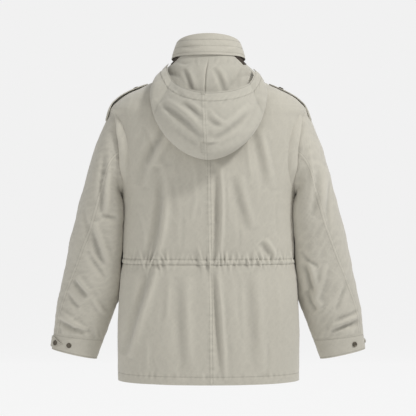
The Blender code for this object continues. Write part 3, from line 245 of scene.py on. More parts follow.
# ---------------------------------------------------------------- hood
# The hood hangs from the zip line down the back, turns at its lowest line and comes up again
# to the rim of its face opening. Each row is a curve from one shoulder to the other.
HOOD = (
    ("row", "half_width", "shift", "back_y", "back_z", "side_y", "side_z", "wrap", "power",
     "end_shift", "end_rise", "seam_lean", "clear_back", "clear_end"),
    (0.0, 0.0855, 0.000, 0.0865, 0.0220, 0.0300, 0.0200, 90, 2.00, 0.0, 0.0, 0.000, 0.0054, 0.0054),
    (1.0, 0.0990, 0.000, 0.1030, -0.0120, 0.0180, 0.0110, 90, 2.00, 0.0, 0.0, 0.040, 0.0054, 0.0054),
    (2.0, 0.1160, 0.000, 0.1220, -0.0750, 0.0160, -0.0060, 90, 1.95, 0.0, 0.0, 0.050, 0.0054, 0.0054),
    (3.0, 0.1290, 0.000, 0.1380, -0.1550, 0.0500, -0.0350, 92, 1.85, 0.0, 0.0, 0.020, 0.0054, 0.0056),
    (4.0, 0.1390, 0.000, 0.1560, -0.2190, 0.0900, -0.0620, 98, 1.82, 0.0, 0.0, 0.006, 0.0110, 0.0080),
    (5.0, 0.1400, 0.000, 0.1800, -0.2080, 0.0980, -0.0650, 103, 1.84, 0.0, 0.0, 0.008, 0.0190, 0.0130),
    (6.0, 0.1330, -0.001, 0.1920, -0.1550, 0.0850, -0.0450, 107, 1.88, 0.0, 0.0, 0.025, 0.0240, 0.0180),
    (7.0, 0.1200, -0.004, 0.1850, -0.1050, 0.0700, -0.0230, 106, 1.95, -0.003, 0.003, 0.050, 0.0250, 0.0220),
    (8.0, 0.1060, -0.007, 0.1680, -0.0635, 0.0560, -0.0030, 102, 2.05, -0.006, 0.007, 0.070, 0.0250, 0.0260),
)
HOOD_ROWS = (0.0, 0.2, 0.45, 1.0, 1.6, 2.3, 3.0, 3.5, 3.9, 4.3, 4.7, 5.2, 5.8, 6.4, 7.0, 7.5, 8.0)
HOOD_COLUMNS = (0.0, 0.09, 0.18, 0.27, 0.36, 0.45, 0.53, 0.60, 0.67, 0.73, 0.79, 0.85, 0.92, 1.0)
LIFT_REACH = 0.12            # farthest that a place of the hood is lifted off the torso
LIFT_STEPS = 14              # halvings of that distance
HOOD_LAID_ROWS = (0.6, 1.4)  # rows between which it comes to rest on the torso
HOOD_OUTSIDE_ROWS = (4.2, 5.2)   # rows between which its outer side begins to fold
HOOD_ENDS = (0.72, 1.0)      # places between which it comes to lie flatter on the shoulder
COLLAR_HOLD_REACH = 0.4      # rows over which the hood leaves the collar's line

# ---------------------------------------------------------------- placket, tabs, straps, snaps
PLACKET_X = (-0.017, 0.043)
PLACKET_Z = (-0.074, -0.752)
PLACKET_LAY = 0.0007         # space under the placket

TAB_LAY = 0.0013             # space under a tab, which bends tightly round the cuff
TAB_HALF_HEIGHT = 0.040      # in the sleeve's own length fractions
TAB_COLUMNS = 10
TAB_POINT_COLUMNS = 2
TAB_TIP = 0.12               # half height of its blunt tip, as a share
TAB_ANGLES = {"left": (-75.0, 57.0), "right": (-132.0, 2.0)}

STRAP_LAY = 0.0010           # space under a shoulder strap at its ends
STRAP_BODY_Z = (-0.0325, -0.040, -0.052, -0.065, -0.077, -0.086)
STRAP_SLEEVE_AT = (0.022, 0.052)
STRAP_HALF_WIDTHS = (0.004, 0.0175, 0.0205, 0.0225, 0.0235, 0.0245, 0.0250, 0.0250)
STRAP_COLUMNS = 4
STRAP_FACING = (0.5, 0.0, 1.0)
STRAP_ARCH = {"left": 0.0042, "right": 0.0010}

CUFF_NUDGE = 0.02            # step along and round the cuff over which its slope is taken

# ---------------------------------------------------------------- fine grids
SHOULDER_STEPS = 26          # rows over the shoulder
UPPER_STEPS = 40             # rows from the underarm to the drawcord's channel
CHANNEL_STEPS = 24           # rows over the channel and its gathers
LOWER_STEPS = 84             # rows from there to the hem
CHANNEL_SPAN = (-0.444, -0.492)
SEAM_SHARE = 0.06            # share beside the centre back seam that has closer columns
SEAM_COLUMNS = 12
PLEAT_DETAIL = 24            # columns of the action pleat
SLEEVE_STEPS = 150
CUFF_STEPS = 16
COLLAR_DETAIL = 220
COLLAR_LAYER_STEPS = 7
ZIP_DETAIL = 60
ZIP_ROWS = 4
HOOD_FINE = 7
PLACKET_DETAIL = (220, 20)
TAB_DETAIL = 60
TAB_ROW_STEPS = 12
STRAP_DETAIL = (50, 20)
SNAP_DETAIL = 40
RIM_ANGLE = 50.0             # degrees past which an edge is sharp

# ---------------------------------------------------------------- relief of seams and cloth
RIPPLES = (                  # length and height of the swell, then of the ridges
    (0.060, 0.00120),
    (0.032, 0.00085),
    (0.014, 0.00042),
)
RIPPLE_WAVES = 9
RIPPLE_SPREAD = (0.7, 1.8)   # of the length of its waves
RIDGE_LEVEL = 0.6            # level of a crease's ridge above the middle of the relief
CRINKLE_STRETCH = 0.7        # the body's creases are longer up and down
FOLD_GAINS = {"back": 1.9, "front": 1.5, "sleeve back": 1.6, "sleeve front": 1.6, "hood": 0.8}
CREASE_GAINS = {"back": 1.0, "front": 1.0, "sleeve back": 1.7, "sleeve front": 1.7, "hood": 0.9,
                "hood inside": 1.0, "collar": 1.0}
CRINKLE_GAINS = {"back": 0.55, "front": 0.55, "sleeve": 1.0, "hood": 0.45, "hood inside": 0.45,
                 "collar": 0.4}
INNER_SEAM_SINK = 0.0024     # the seam of the hood's inner side is a sharp valley
INNER_SEAM_WIDTH = 0.0016
SEEDS = {"back": 31, "front": 41, "hem": 51, "back seam": 53, "sleeve left": 61, "sleeve right": 71,
         "hood": 81, "hood inside": 91, "rim": 95, "hood seam": 97, "collar": 101}
SEAM_SINK = 0.0008           # how far a row of stitches sinks into the cloth
SEAM_SINK_WIDTH = 0.0013
SEAM_PUCKER = 0.0006         # small waves of the cloth beside a seam
SEAM_PUCKER_REACH = 0.009
SEAM_PUCKER_LENGTH = 0.013
FELL_WIDTH = 0.0105          # width of a flat-felled seam
FELL_RISE = 0.0010
FELL_EDGE = 0.0006           # half the width of its edges' slope
EDGE_CALM = 0.985            # share of the half width from which the fine relief fades
CHANNEL_Z = (-0.4612, -0.4738)   # stitch lines of the drawcord's channel
CHANNEL_RISE = 0.0012
CHANNEL_SINK = 0.0012
CHANNEL_SINK_WIDTH = 0.0016
PUCKER_SEED = {"back": 11, "front": 12}
PUCKER_SHIFT = 0.35          # of the space between two puckers
PUCKER_SLANT = 0.40
PUCKER_REACHES = (0.6, 1.5)
PUCKER_HEIGHTS = (0.5, 1.2)
PUCKER_WIDTHS = (0.0022, 0.0042)
SLEEVE_LENGTH = 0.36         # along the arm from the head to the cuff
SLEEVE_EDGE = 0.015
CUFF_LENGTH = 0.40           # the same per unit of the sleeve's length fractions at the cuff
CUFF_CALM = 0.5
CUFF_GATHER = 0.0012         # small gathers above the cuff
CUFF_GATHER_LENGTH = 0.014
CUFF_GATHER_REACH = 0.05
HOOD_INSIDE_ROWS = (3.4, 2.4)    # rows over which the inner side's creases fade
HOOD_TUCKED_ROWS = (0.15, 0.5)
PUCKERS = {                  # name, lowest and highest X, count, height and reach
    "back": (
        ("left outer cluster", 0.168, 0.212, 7, 0.0034, 0.015),
        ("left deep cluster", 0.100, 0.160, 9, 0.0056, 0.018),
        ("left plain stretch", 0.034, 0.095, 8, 0.0022, 0.012),
        ("centre cluster", -0.048, 0.024, 10, 0.0050, 0.018),
        ("right cluster", -0.205, -0.056, 22, 0.0042, 0.015),
    ),
    "front": (
        ("left cluster", 0.055, 0.205, 20, 0.0042, 0.015),
        ("right cluster", -0.205, -0.030, 23, 0.0042, 0.014),
    ),
}
HOOD_CHANNEL = 0.024         # width of the channel along the hood's rim
HOOD_CHANNEL_RISE = 0.0009
HOOD_PATCHES = (             # name, slot, facing, rows and places
    ("hood_patch", "cloth", 1, 5.00, 5.50, 0.002, 0.075),
    ("hood_bar", "cloth", 1, 7.82, 7.93, 0.010, 0.050),
    # The zip-end patches are dark tape on the hood's inner side: partly zip ends, partly painted shade of the
    # neck's inside.
    ("zip_end_painted_shade_left", "zip_tape", -1, 0.16, 0.50, 0.84, 1.000),
    ("zip_end_painted_shade_right", "zip_tape", -1, 0.14, 0.52, -1.000, -0.74),
)
PATCH_STEPS = 24
PATCH_WALL = 0.0014
PATCH_STITCH = 0.0016

# ---------------------------------------------------------------- creases
# A crease has the same columns as a fold. It is a single ridge, or a trough below 0.
CREASES = {
    "back": (
        ("left shoulder", 0.155, -0.14, 0.135, -0.175, 0.13, -0.235, 0.006, -0.0016),
        ("left blade", 0.112, -0.205, 0.092, -0.25, 0.096, -0.33, 0.007, -0.0016),
        ("left inner blade", 0.09, -0.215, 0.074, -0.27, 0.07, -0.35, 0.008, 0.0014),
        ("left low", 0.17, -0.33, 0.15, -0.375, 0.152, -0.44, 0.006, 0.0016),
        ("left middle", 0.062, -0.33, 0.056, -0.39, 0.066, -0.45, 0.006, -0.0012),
        ("centre", 0.034, -0.23, 0.024, -0.3, 0.036, -0.37, 0.006, 0.0012),
        ("right spine", -0.046, -0.245, -0.052, -0.32, -0.044, -0.42, 0.007, 0.0014),
        ("right blade", -0.09, -0.165, -0.098, -0.22, -0.104, -0.29, 0.006, 0.0016),
        ("right outer blade", -0.14, -0.16, -0.158, -0.23, -0.168, -0.3, 0.007, -0.0014),
        ("right side", -0.17, -0.3, -0.158, -0.35, -0.172, -0.41, 0.006, -0.0016),
        ("right low", -0.068, -0.34, -0.078, -0.39, -0.074, -0.45, 0.006, -0.0012),
        ("left skirt", 0.095, -0.49, 0.088, -0.56, 0.11, -0.65, 0.007, 0.0016),
        ("left outer skirt", 0.186, -0.5, 0.196, -0.58, 0.19, -0.68, 0.007, -0.0014),
        ("left hem", 0.15, -0.65, 0.14, -0.7, 0.156, -0.748, 0.007, 0.0014),
        ("right skirt", -0.075, -0.495, -0.07, -0.57, -0.084, -0.67, 0.007, -0.0016),
        ("right outer skirt", -0.165, -0.5, -0.178, -0.57, -0.172, -0.66, 0.007, 0.0014),
        ("right hem", -0.14, -0.66, -0.15, -0.7, -0.138, -0.75, 0.007, -0.0014),
    ),
    "front": (
        ("left chest", 0.14, -0.15, 0.12, -0.2, 0.116, -0.27, 0.006, -0.0016),
        ("left inner chest", 0.08, -0.18, 0.07, -0.24, 0.078, -0.31, 0.007, 0.0014),
        ("right chest", -0.125, -0.15, -0.105, -0.2, -0.11, -0.26, 0.006, 0.0016),
        ("right inner chest", -0.062, -0.2, -0.07, -0.26, -0.06, -0.33, 0.007, -0.0014),
        ("left low", 0.16, -0.33, 0.145, -0.38, 0.15, -0.44, 0.006, 0.0016),
        ("right low", -0.165, -0.32, -0.15, -0.37, -0.156, -0.435, 0.006, -0.0016),
        ("left skirt", 0.09, -0.49, 0.086, -0.57, 0.104, -0.66, 0.007, 0.0014),
        ("left outer skirt", 0.18, -0.51, 0.19, -0.59, 0.184, -0.68, 0.007, -0.0014),
        ("right skirt", -0.08, -0.495, -0.09, -0.58, -0.078, -0.67, 0.007, -0.0014),
        ("right outer skirt", -0.175, -0.51, -0.168, -0.6, -0.182, -0.69, 0.007, 0.0014),
    ),
    "sleeve back": (
        ("left pocket", 0.256, -0.255, 0.245, -0.31, 0.2525, -0.358, 0.007, 0.0022),
        ("left boxy", 0.26, -0.352, 0.242, -0.362, 0.222, -0.36, 0.006, -0.0026),
        ("left outer elbow", 0.305, -0.33, 0.295, -0.39, 0.288, -0.45, 0.007, -0.0016),
        ("left elbow", 0.295, -0.44, 0.275, -0.48, 0.25, -0.51, 0.006, -0.0018),
        ("left forearm", 0.35, -0.545, 0.335, -0.57, 0.318, -0.585, 0.006, -0.0022),
        ("left inner forearm", 0.285, -0.56, 0.27, -0.585, 0.255, -0.6, 0.006, 0.0018),
        ("left low", 0.365, -0.59, 0.35, -0.606, 0.33, -0.612, 0.005, 0.002),
        ("left cuff", 0.33, -0.63, 0.315, -0.64, 0.29, -0.645, 0.005, -0.0016),
        ("right upper", -0.245, -0.19, -0.255, -0.25, -0.25, -0.32, 0.007, 0.0018),
        ("right outer", -0.295, -0.27, -0.285, -0.34, -0.295, -0.4, 0.007, -0.0016),
        ("right bend", -0.225, -0.44, -0.24, -0.47, -0.27, -0.48, 0.006, -0.0022),
        ("right v", -0.238, -0.476, -0.248, -0.52, -0.264, -0.562, 0.006, -0.0022),
        ("right second v", -0.288, -0.47, -0.278, -0.52, -0.268, -0.56, 0.007, 0.0018),
        ("right inner", -0.245, -0.545, -0.26, -0.575, -0.28, -0.59, 0.006, 0.002),
        ("right forearm", -0.34, -0.52, -0.33, -0.56, -0.31, -0.59, 0.007, -0.0018),
        ("right low", -0.37, -0.59, -0.34, -0.606, -0.31, -0.615, 0.005, -0.0018),
        ("right cuff", -0.355, -0.632, -0.33, -0.64, -0.3, -0.65, 0.005, 0.0016),
    ),
    "sleeve front": (
        ("left upper", 0.26, -0.2, 0.255, -0.27, 0.262, -0.34, 0.007, 0.0016),
        ("left bend", 0.235, -0.41, 0.27, -0.44, 0.31, -0.445, 0.006, 0.0024),
        ("left second bend", 0.23, -0.455, 0.265, -0.475, 0.3, -0.47, 0.006, -0.002),
        ("left forearm", 0.34, -0.56, 0.32, -0.59, 0.295, -0.6, 0.006, 0.0018),
        ("left low", 0.36, -0.6, 0.34, -0.61, 0.315, -0.612, 0.005, -0.0016),
        ("right upper", -0.265, -0.21, -0.255, -0.28, -0.26, -0.35, 0.007, -0.0016),
        ("right bend", -0.235, -0.405, -0.27, -0.432, -0.308, -0.438, 0.006, -0.0024),
        ("right second bend", -0.232, -0.45, -0.265, -0.468, -0.298, -0.465, 0.006, 0.002),
        ("right forearm", -0.338, -0.555, -0.32, -0.585, -0.295, -0.598, 0.006, -0.0018),
        ("right low", -0.362, -0.602, -0.34, -0.612, -0.312, -0.614, 0.005, 0.0016),
    ),
    "hood": (
        ("left rim", 0.086, -0.045, 0.062, -0.078, 0.03, -0.096, 0.005, -0.0014),
        ("left outer", 0.128, -0.075, 0.105, -0.115, 0.07, -0.15, 0.007, 0.002),
        ("left low", 0.08, -0.15, 0.055, -0.175, 0.025, -0.19, 0.006, -0.0016),
        ("right seam", -0.002, -0.1, -0.012, -0.124, -0.034, -0.136, 0.005, 0.0018),
        ("right outer", -0.12, -0.07, -0.115, -0.11, -0.085, -0.15, 0.007, -0.0018),
        ("right low", -0.02, -0.19, -0.045, -0.18, -0.075, -0.16, 0.006, -0.0014),
        ("low cross", 0.02, -0.181, -0.005, -0.186, -0.03, -0.178, 0.004, 0.0018),
    ),
    "hood inside": (
        ("loop", 0.079, 0.024, 0.062, 0.006, 0.042, 0.018, 0.0035, -0.0022),
        ("loop ridge", 0.074, 0.032, 0.058, 0.018, 0.044, 0.028, 0.004, 0.002),
        ("first gather", 0.0335, 0.04, 0.029, 0.026, 0.033, 0.012, 0.003, -0.0028),
        ("first gather's ridge", 0.026, 0.04, 0.022, 0.024, 0.025, 0.006, 0.0035, 0.0018),
        ("second gather", -0.013, 0.04, -0.0175, 0.028, -0.0135, 0.012, 0.003, -0.0028),
        ("second gather's ridge", -0.023, 0.04, -0.026, 0.026, -0.02, 0.01, 0.0035, 0.0018),
        ("third gather", -0.048, 0.04, -0.052, 0.028, -0.044, 0.012, 0.003, -0.0026),
        ("fourth gather", -0.064, 0.036, -0.069, 0.024, -0.06, 0.008, 0.0035, -0.0022),
        ("long inner fold", -0.012, 0.002, -0.03, -0.024, -0.038, -0.066, 0.006, -0.0046),
        ("long inner ridge", -0.024, 0.006, -0.044, -0.02, -0.05, -0.062, 0.008, 0.003),
        ("left inner fold", 0.062, 0.0, 0.046, -0.026, 0.042, -0.06, 0.006, -0.0034),
        ("left inner ridge", 0.05, 0.004, 0.036, -0.024, 0.03, -0.058, 0.008, 0.0026),
        ("right inner fold", -0.082, 0.004, -0.07, -0.022, -0.072, -0.05, 0.006, -0.0026),
    ),
    "collar": (
        ("left collar", 0.068, 0.058, 0.048, 0.05, 0.02, 0.054, 0.004, -0.0014),
        ("right collar", -0.07, 0.06, -0.06, 0.052, -0.04, 0.05, 0.004, 0.0008),
    ),
}

# ---------------------------------------------------------------- sewing
SEAM_STITCHES = (0.0016, 0.0090)
COLLAR_STITCHES = (0.0070, 0.0235, 0.0400)
COLLAR_CROSS_STITCH = -76.0  # angle of the stitching across the collar
HEM_STITCH = 0.020
EDGE_STITCH = 0.0032
STITCH_PITCH = 0.0034
STITCH_SHARE = 0.72          # of the pitch that a stitch covers
STITCH_WIDTH = 0.0008
STITCH_RINGS = ((0.0, 0.35, -0.2), (0.3, 1.0, 0.15), (0.7, 1.0, 0.15), (1.0, 0.35, -0.2))
STITCH_SIDES = ((1, 0), (0, 1), (-1, 0), (0, -1))
STITCH_FLATNESS = 0.45       # its half height, in widths
ZIP_TEETH_ROW = 0.80
TOOTH_PITCH = 0.0016
TOOTH_SIZE = (0.0010, 0.0034, 0.0012)
TOOTH_LEVELS = ((-0.2, 1.0), (1.0, 0.75))
TOOTH_SHARP_ANGLE = 20.0
SNAP_HUB = 0.00002
SNAP_ASIDE = (0.3, 0.4, 0.9)   # lies along no snap's axis
SNAP_SHARP_ANGLE = 60.0
SNAP_PROFILE = (             # radius and height
    (0.0000, 0.0020),
    (0.0014, 0.0019),
    (0.0024, 0.0014),
    (0.0032, 0.0011),
    (0.0040, 0.0014),
    (0.0046, 0.0021),
    (0.0053, 0.0023),
    (0.0060, 0.0019),
    (0.0065, 0.0010),
    (0.0065, 0.0000),
    (0.0000, 0.0000),
)

# ---------------------------------------------------------------- cloth
# Painted light and shade, added to the cloth's colour: raised places lighter, hollows and creases darker.
PAINTED_SHADE_SCALES = (                   # steps to the surroundings, and gain
    (1, 0.16),
    (3, 0.20),
)
PAINTED_SHADE_LIMITS = (-0.30, 0.10)
CLOTH_SHEEN = 0.25
TAPE_SHEEN = 0.04
CLOTH_MOTTLE = 0.10
TAPE_MOTTLE = 0.20
# Height of relief that gives a whole gain of the painted light and shade.
PAINTED_SHADE_DEPTH = 0.0010          # height that gives a whole gain of tone
THREAD_PITCH = 0.0011
WEAVE_DEPTH = 0.00022
WEAVE_STRENGTH = 0.8
WEAVE_BUMP = 0.25            # shares of the weave, the slubs and the fine noise in the bump
SLUB_BUMP = 0.5
FINE_BUMP = 2.2
WEAVE_SHADE = 0.02
FINE_SHADE = 0.8             # of the mottle
SLUB_SHADE = 0.6
CLOTH_ROUGHNESS = 0.92
CLOTH_SPECULAR = 0.22
SHEEN_ROUGHNESS = 0.6
BROAD_NOISE = (7.0, 3.0, 0.5)    # scale, detail and roughness
FINE_NOISE = (90.0, 4.0, 0.6)
SLUB_NOISE = (420.0, 2.0, 0.5)
THREAD_NOISE = (700.0, 2.0, 0.5)
THREAD_ROUGHNESS = (0.55, 0.5)   # lowest, and how much the noise adds
WEAR_NOISE = (500.0, 4.0, 0.6)
METAL_ROUGHNESS = (0.25, 0.35)
WEAR_DEPTH = 0.00005
COLOURS = {
    "cloth": (0.500, 0.475, 0.405),
    "hood": (0.480, 0.458, 0.392),
    "sleeve": (0.495, 0.470, 0.402),
    # thread: partly its own darker colour, partly painted shade along the seams
    "thread": (0.300, 0.284, 0.238),
    "zip": (0.048, 0.036, 0.026),
    "teeth": (0.060, 0.050, 0.040),
    "snap": (0.140, 0.125, 0.100),
    "floor": (0.03, 0.03, 0.03),
}

# ---------------------------------------------------------------- stage
CAMERA_PLACE = (0.00124, 3.4, -0.337)
CAMERA_LENS = 118.6
CAMERA_SENSOR = 36.0
FLOOR_Z = -1.20
FLOOR_FRONT = 6.0
FLOOR_BACK = -4.2
SWEEP_RADIUS = 1.5
SWEEP_STEPS = 24
BACKDROP_TOP = 5.0
STAGE_HALF = 9.0
WHITE = (1.0, 1.0, 1.0, 1.0)
WORLD_STRENGTH = 0.38
BACKDROP_GLOW = 0.85
LIGHTS = (                   # name, place, target, size and power
    ("key", (-2.2, 1.5, 2.4), (0.0, 0.0, -0.35), 0.6, 88.0),
    ("fill", (2.2, 3.0, 0.3), (0.0, 0.0, -0.3), 2.2, 25.0),
    ("front_fill", (0.0, -3.0, 1.5), (0.0, 0.0, -0.3), 2.6, 26.0),
)


# ---------------------------------------------------------------- tables and curves
def cubic(t, start, end, start_slope, end_slope):
    """Smooth curve between two values with their slopes, at t from 0 to 1."""
    first = (2 * t**3 - 3 * t**2 + 1) * start + (t**3 - 2 * t**2 + t) * start_slope
    return first + (3 * t**2 - 2 * t**3) * end + (t**3 - t**2) * end_slope


def read(table, name, at):
    """Smooth cubic through a table's named column, whose first column is the place."""
    place = np.array([row[0] for row in table[1:]], dtype=float)
    value = np.array([row[table[0].index(name)] for row in table[1:]], dtype=float)
    order = np.argsort(place)
    place, value = place[order], value[order]
    slope = np.gradient(value, place)
    at = np.clip(at, place[0], place[-1])
    i = np.clip(np.searchsorted(place, at) - 1, 0, len(place) - 2)
    step = place[i + 1] - place[i]
    return cubic((at - place[i]) / step, value[i], value[i + 1], step * slope[i], step * slope[i + 1])


def ease(low, high, value):
    """Smooth step from 0 at low to 1 at high."""
    t = np.clip((value - low) / (high - low), 0, 1)
    return t * t * (3 - 2 * t)


def oval(angle, power):
    """Sine and cosine of a squared oval."""
    sine = np.sign(np.sin(angle)) * np.abs(np.sin(angle)) ** (2 / power)
    cosine = np.sign(np.cos(angle)) * np.abs(np.cos(angle)) ** (2 / power)
    return sine, cosine


def unit(vectors):
    """Vectors of length one."""
    return vectors / np.maximum(np.linalg.norm(vectors, axis=-1, keepdims=True), TINY)


def refine(values, count):
    """Each step of a list of values cut into equal shorter ones."""
    steps = np.arange((len(values) - 1) * count + 1) / count
    return np.interp(steps, np.arange(len(values)), values)


def grid_normals(points, outward, closed=False):
    """Unit normals of a grid of points, turned to the side that the outward vectors point to."""
    if closed:
        across = np.roll(points, -1, axis=1) - np.roll(points, 1, axis=1)
    else:
        across = np.gradient(points, axis=1)
    along = np.gradient(points, axis=0)
    normals = unit(np.cross(across, along))
    middle = np.sum(normals * outward, axis=-1).mean()
    return normals * np.sign(middle)


# ---------------------------------------------------------------- folds
def beside_curve(x, z, curve):
    """Distance of places from a curve, on which side they lie, and its fade towards its ends."""
    t = np.linspace(0, 1, FOLD_STEPS + 1)[:, None]
    line = (1 - t)**2 * np.array(curve[:2]) + 2 * t * (1 - t) * np.array(curve[2:4])
    line = line + t**2 * np.array(curve[4:])
    start, run = line[:-1], line[1:] - line[:-1]
    away = np.stack([x, z], axis=-1)[..., None, :] - start
    share = np.clip(np.sum(away * run, axis=-1) / np.sum(run * run, axis=-1), 0, 1)
    away = away - share[..., None] * run
    distance = np.linalg.norm(away, axis=-1)
    nearest = np.argmin(distance, axis=-1)[..., None]
    side = np.sign(run[:, 0] * away[..., 1] - run[:, 1] * away[..., 0])
    side, share = (np.take_along_axis(values, nearest, axis=-1)[..., 0] for values in (side, share))
    along = (nearest[..., 0] + share) / FOLD_STEPS
    return distance.min(axis=-1), side, np.clip(4 * along * (1 - along), 0, 1) ** FOLD_FADE_POWER


def drape(word, x, z):
    """Height of a cloth's folds and creases over places seen from behind or in front."""
    total = np.zeros_like(x)
    for _, *curve, width, height in FOLDS.get(word, ()):
        distance, side, fade = beside_curve(x, z, curve)
        signed = distance * side / width
        left, right = (np.exp(-FOLD_SHARPNESS * (signed - bank)**2) for bank in (FOLD_BANK, -FOLD_BANK))
        total += FOLD_GAINS[word] * height * fade * (left - right)
    for _, *curve, width, height in CREASES[word]:
        distance, _, fade = beside_curve(x, z, curve)
        total += CREASE_GAINS[word] * height * fade * np.exp(-(distance / width)**2)
    return total


# ---------------------------------------------------------------- torso form
def armhole_depth(z):
    """Half the armhole, front to back, at a height."""
    rise = (z - ARMHOLE_MIDDLE_Z) / (SHOULDER_POINT_Z - ARMHOLE_MIDDLE_Z)
    return ARMHOLE_HALF_DEPTH * np.sqrt(np.clip(1 - rise**2, 0, None))


def torso_section(facing, z):
    """Half width, depth and power of the oval at a height; it passes through the side edge."""
    depth = read(TORSO, "back_depth" if facing > 0 else "front_depth", z)
    power = read(TORSO, "power", z)
    edge = read(TORSO, "edge_x", z)
    share = (armhole_depth(z) / depth) ** power
    return edge / (1 - share) ** (1 / power), depth, power


def neck_drop(share):
    """How far the front neckline lies below the back one, at a share of the front's width."""
    return FRONT_NECK_DROP * np.exp(-(np.abs(share) * 90 / NECK_DROP_ANGLE) ** NECK_DROP_POWER)


def torso_points(facing, share, row_z):
    """Points on the torso: share is 0 at the centre and 1 at the side edge, signed by X."""
    z = row_z
    if facing < 0:
        z = row_z - neck_drop(share) * np.clip(1 + row_z / NECK_DROP_REACH, 0, 1) ** 2
    half, depth, power = torso_section(facing, z)
    edge_angle = np.arccos((armhole_depth(z) / depth) ** (power / 2))
    sine, cosine = oval(edge_angle * np.abs(share), power)
    return np.stack([np.sign(share) * half * sine, facing * depth * cosine, z], axis=-1)


def torso_share(facing, x, z):
    """The share of the torso's width at a place x on a plain section."""
    half, depth, power = torso_section(facing, z)
    edge_angle = np.arccos((armhole_depth(z) / depth) ** (power / 2))
    return np.sign(x) * np.arcsin((np.abs(x) / half) ** (power / 2)) / edge_angle


def pleat_opening(z):
    """How far the action pleat is open at a height, from 0 to 1."""
    return ease(PLEAT_TOP[0], PLEAT_TOP[1], z) * ease(PLEAT_FOOT[0], PLEAT_FOOT[1], z)


def lay_pleat(points, share, row_z):
    """The action pleat along the back's armhole edges."""
    step = np.clip((np.abs(share) - PLEAT_START) / (1 - PLEAT_START), 0, 1) * PLEAT_COLUMNS
    opening = pleat_opening(row_z)
    seam_y = armhole_depth(row_z)
    lift_y = seam_y / ARMHOLE_HALF_DEPTH**2
    lift_z = (row_z - ARMHOLE_MIDDLE_Z) / (SHOULDER_POINT_Z - ARMHOLE_MIDDLE_Z)**2
    length = np.maximum(np.hypot(lift_y, lift_z), TINY)
    out = read(PLEAT, "out", step)
    at_seam = np.clip(step - PLEAT_COLUMNS + 1, 0, 1)
    lift = read(PLEAT, "lift", step)
    target = np.stack([
        np.sign(share) * (read(TORSO, "edge_x", row_z) + out),
        seam_y + lift * lift_y / length,
        row_z + lift * lift_z / length,
    ], axis=-1)
    weight = opening * ease(0.0, PLEAT_EASE, step)
    laid = points + weight[..., None] * (target - points)
    lap = PLEAT_LAP * at_seam * ease(0.0, PLEAT_LAPPED, opening)
    return laid + np.stack([0 * lap, lap * lift_y / length, lap * lift_z / length], axis=-1)


def torso_half_width_at(y, z):
    """X of the torso's side at a depth."""
    facing = np.where(y > 0, 1, -1)
    back, front = torso_section(1, z), torso_section(-1, z)
    half = np.where(facing > 0, back[0], front[0])
    depth = np.where(facing > 0, back[1], front[1])
    power = back[2]
    return half * np.clip(1 - (np.abs(y) / depth)**power, 0, None) ** (1 / power)


def inside_torso(points):
    """Whether points lie inside the torso's plain form."""
    back, front = torso_section(1, points[..., 2]), torso_section(-1, points[..., 2])
    depth = np.where(points[..., 1] > 0, back[1], front[1])
    half = np.where(points[..., 1] > 0, back[0], front[0])
    across, along = np.abs(points[..., 0]) / half, np.abs(points[..., 1]) / depth
    return across**back[2] + along**back[2] < 1


def lift_off_torso(points, clearance):
    """Points moved up and back, but not sideways, until they lie clear of the torso's form."""
    upright = np.array([0.0, 1.0, 1.0]) / math.sqrt(2)
    foot = points - clearance[..., None] * upright
    low, high = np.zeros(points.shape[:-1]), np.full(points.shape[:-1], LIFT_REACH)
    for _ in range(LIFT_STEPS):
        middle = (low + high) / 2
        short = inside_torso(foot + middle[..., None] * upright)
        low, high = np.where(short, middle, low), np.where(short, high, middle)
    lift = np.where(inside_torso(foot), high, 0)
    return points + lift[..., None] * upright


# ---------------------------------------------------------------- sleeve form
def sleeve_angles(at):
    """Angles of the columns round the arm; the elbow seam turns outward towards the cuff."""
    columns = np.arange(2 * ARMHOLE_STEPS)
    elbow = read(SLEEVE, "elbow_seam", at)[:, None]
    inner = read(SLEEVE, "inner_seam", at)[:, None]
    upper = (inner - 360) + (elbow - inner + 360) * (
        (columns - INNER_COLUMN + 2 * ARMHOLE_STEPS) / (ELBOW_COLUMN - INNER_COLUMN + 2 * ARMHOLE_STEPS))
    upper_late = upper - 2 * ARMHOLE_STEPS * (elbow - inner + 360) / (
        ELBOW_COLUMN - INNER_COLUMN + 2 * ARMHOLE_STEPS)
    under = elbow + (inner - elbow) * (columns - ELBOW_COLUMN) / (INNER_COLUMN - ELBOW_COLUMN)
    angles = np.where(columns <= ELBOW_COLUMN, upper, np.where(columns >= INNER_COLUMN, upper_late, under))
    return np.radians(angles)


def sleeve_points(at, angles):
    """Points of the left sleeve and cuff at length fractions and angles round the arm."""
    def column(name):
        return read(SLEEVE, name, at)

    sine, cosine = oval(angles, column("power"))
    mid_x, mid_z = (column("in_x") + column("out_x")) / 2, (column("in_z") + column("out_z")) / 2
    half_x, half_z = (column("out_x") - column("in_x")) / 2, (column("out_z") - column("in_z")) / 2
    x = mid_x + half_x * cosine
    y = column("mid_y") + column("half_depth") * sine
    z = mid_z + half_z * cosine
    ring_x = read(TORSO, "edge_x", np.clip(z, UNDERARM_Z, SHOULDER_POINT_Z))
    _, foot_x, foot_z, head_x, head_z = SLEEVE[1][:5]
    straight = foot_x + (head_x - foot_x) * (z - foot_z) / (head_z - foot_z)
    x = x + column("ring") * (ring_x - straight)
    below = z < UNDERARM_Z
    side = np.where(below, torso_half_width_at(y, z) + SLEEVE_CLEARANCE, x)
    return np.stack([np.maximum(x, side), y, z], axis=-1)


# ---------------------------------------------------------------- collar form
def neckline(angle):
    """The body's neck edge, by the angle in degrees from the centre back."""
    angle = np.asarray(angle, dtype=float)
    side = np.sign(angle) + (angle == 0)
    back = torso_points(1, side * np.minimum(np.abs(angle), 90) / 90, np.zeros_like(angle))
    front = torso_points(-1, side * (180 - np.maximum(np.abs(angle), 90)) / 90, np.zeros_like(angle))
    return np.where((np.abs(angle) <= 90)[..., None], back, front)


def zip_line(angle):
    """Height of the collar's zip line as a share of the collar's height."""
    return ZIP_LINE_BACK + (ZIP_LINE_FRONT - ZIP_LINE_BACK) * (1 - np.cos(np.radians(angle))) / 2


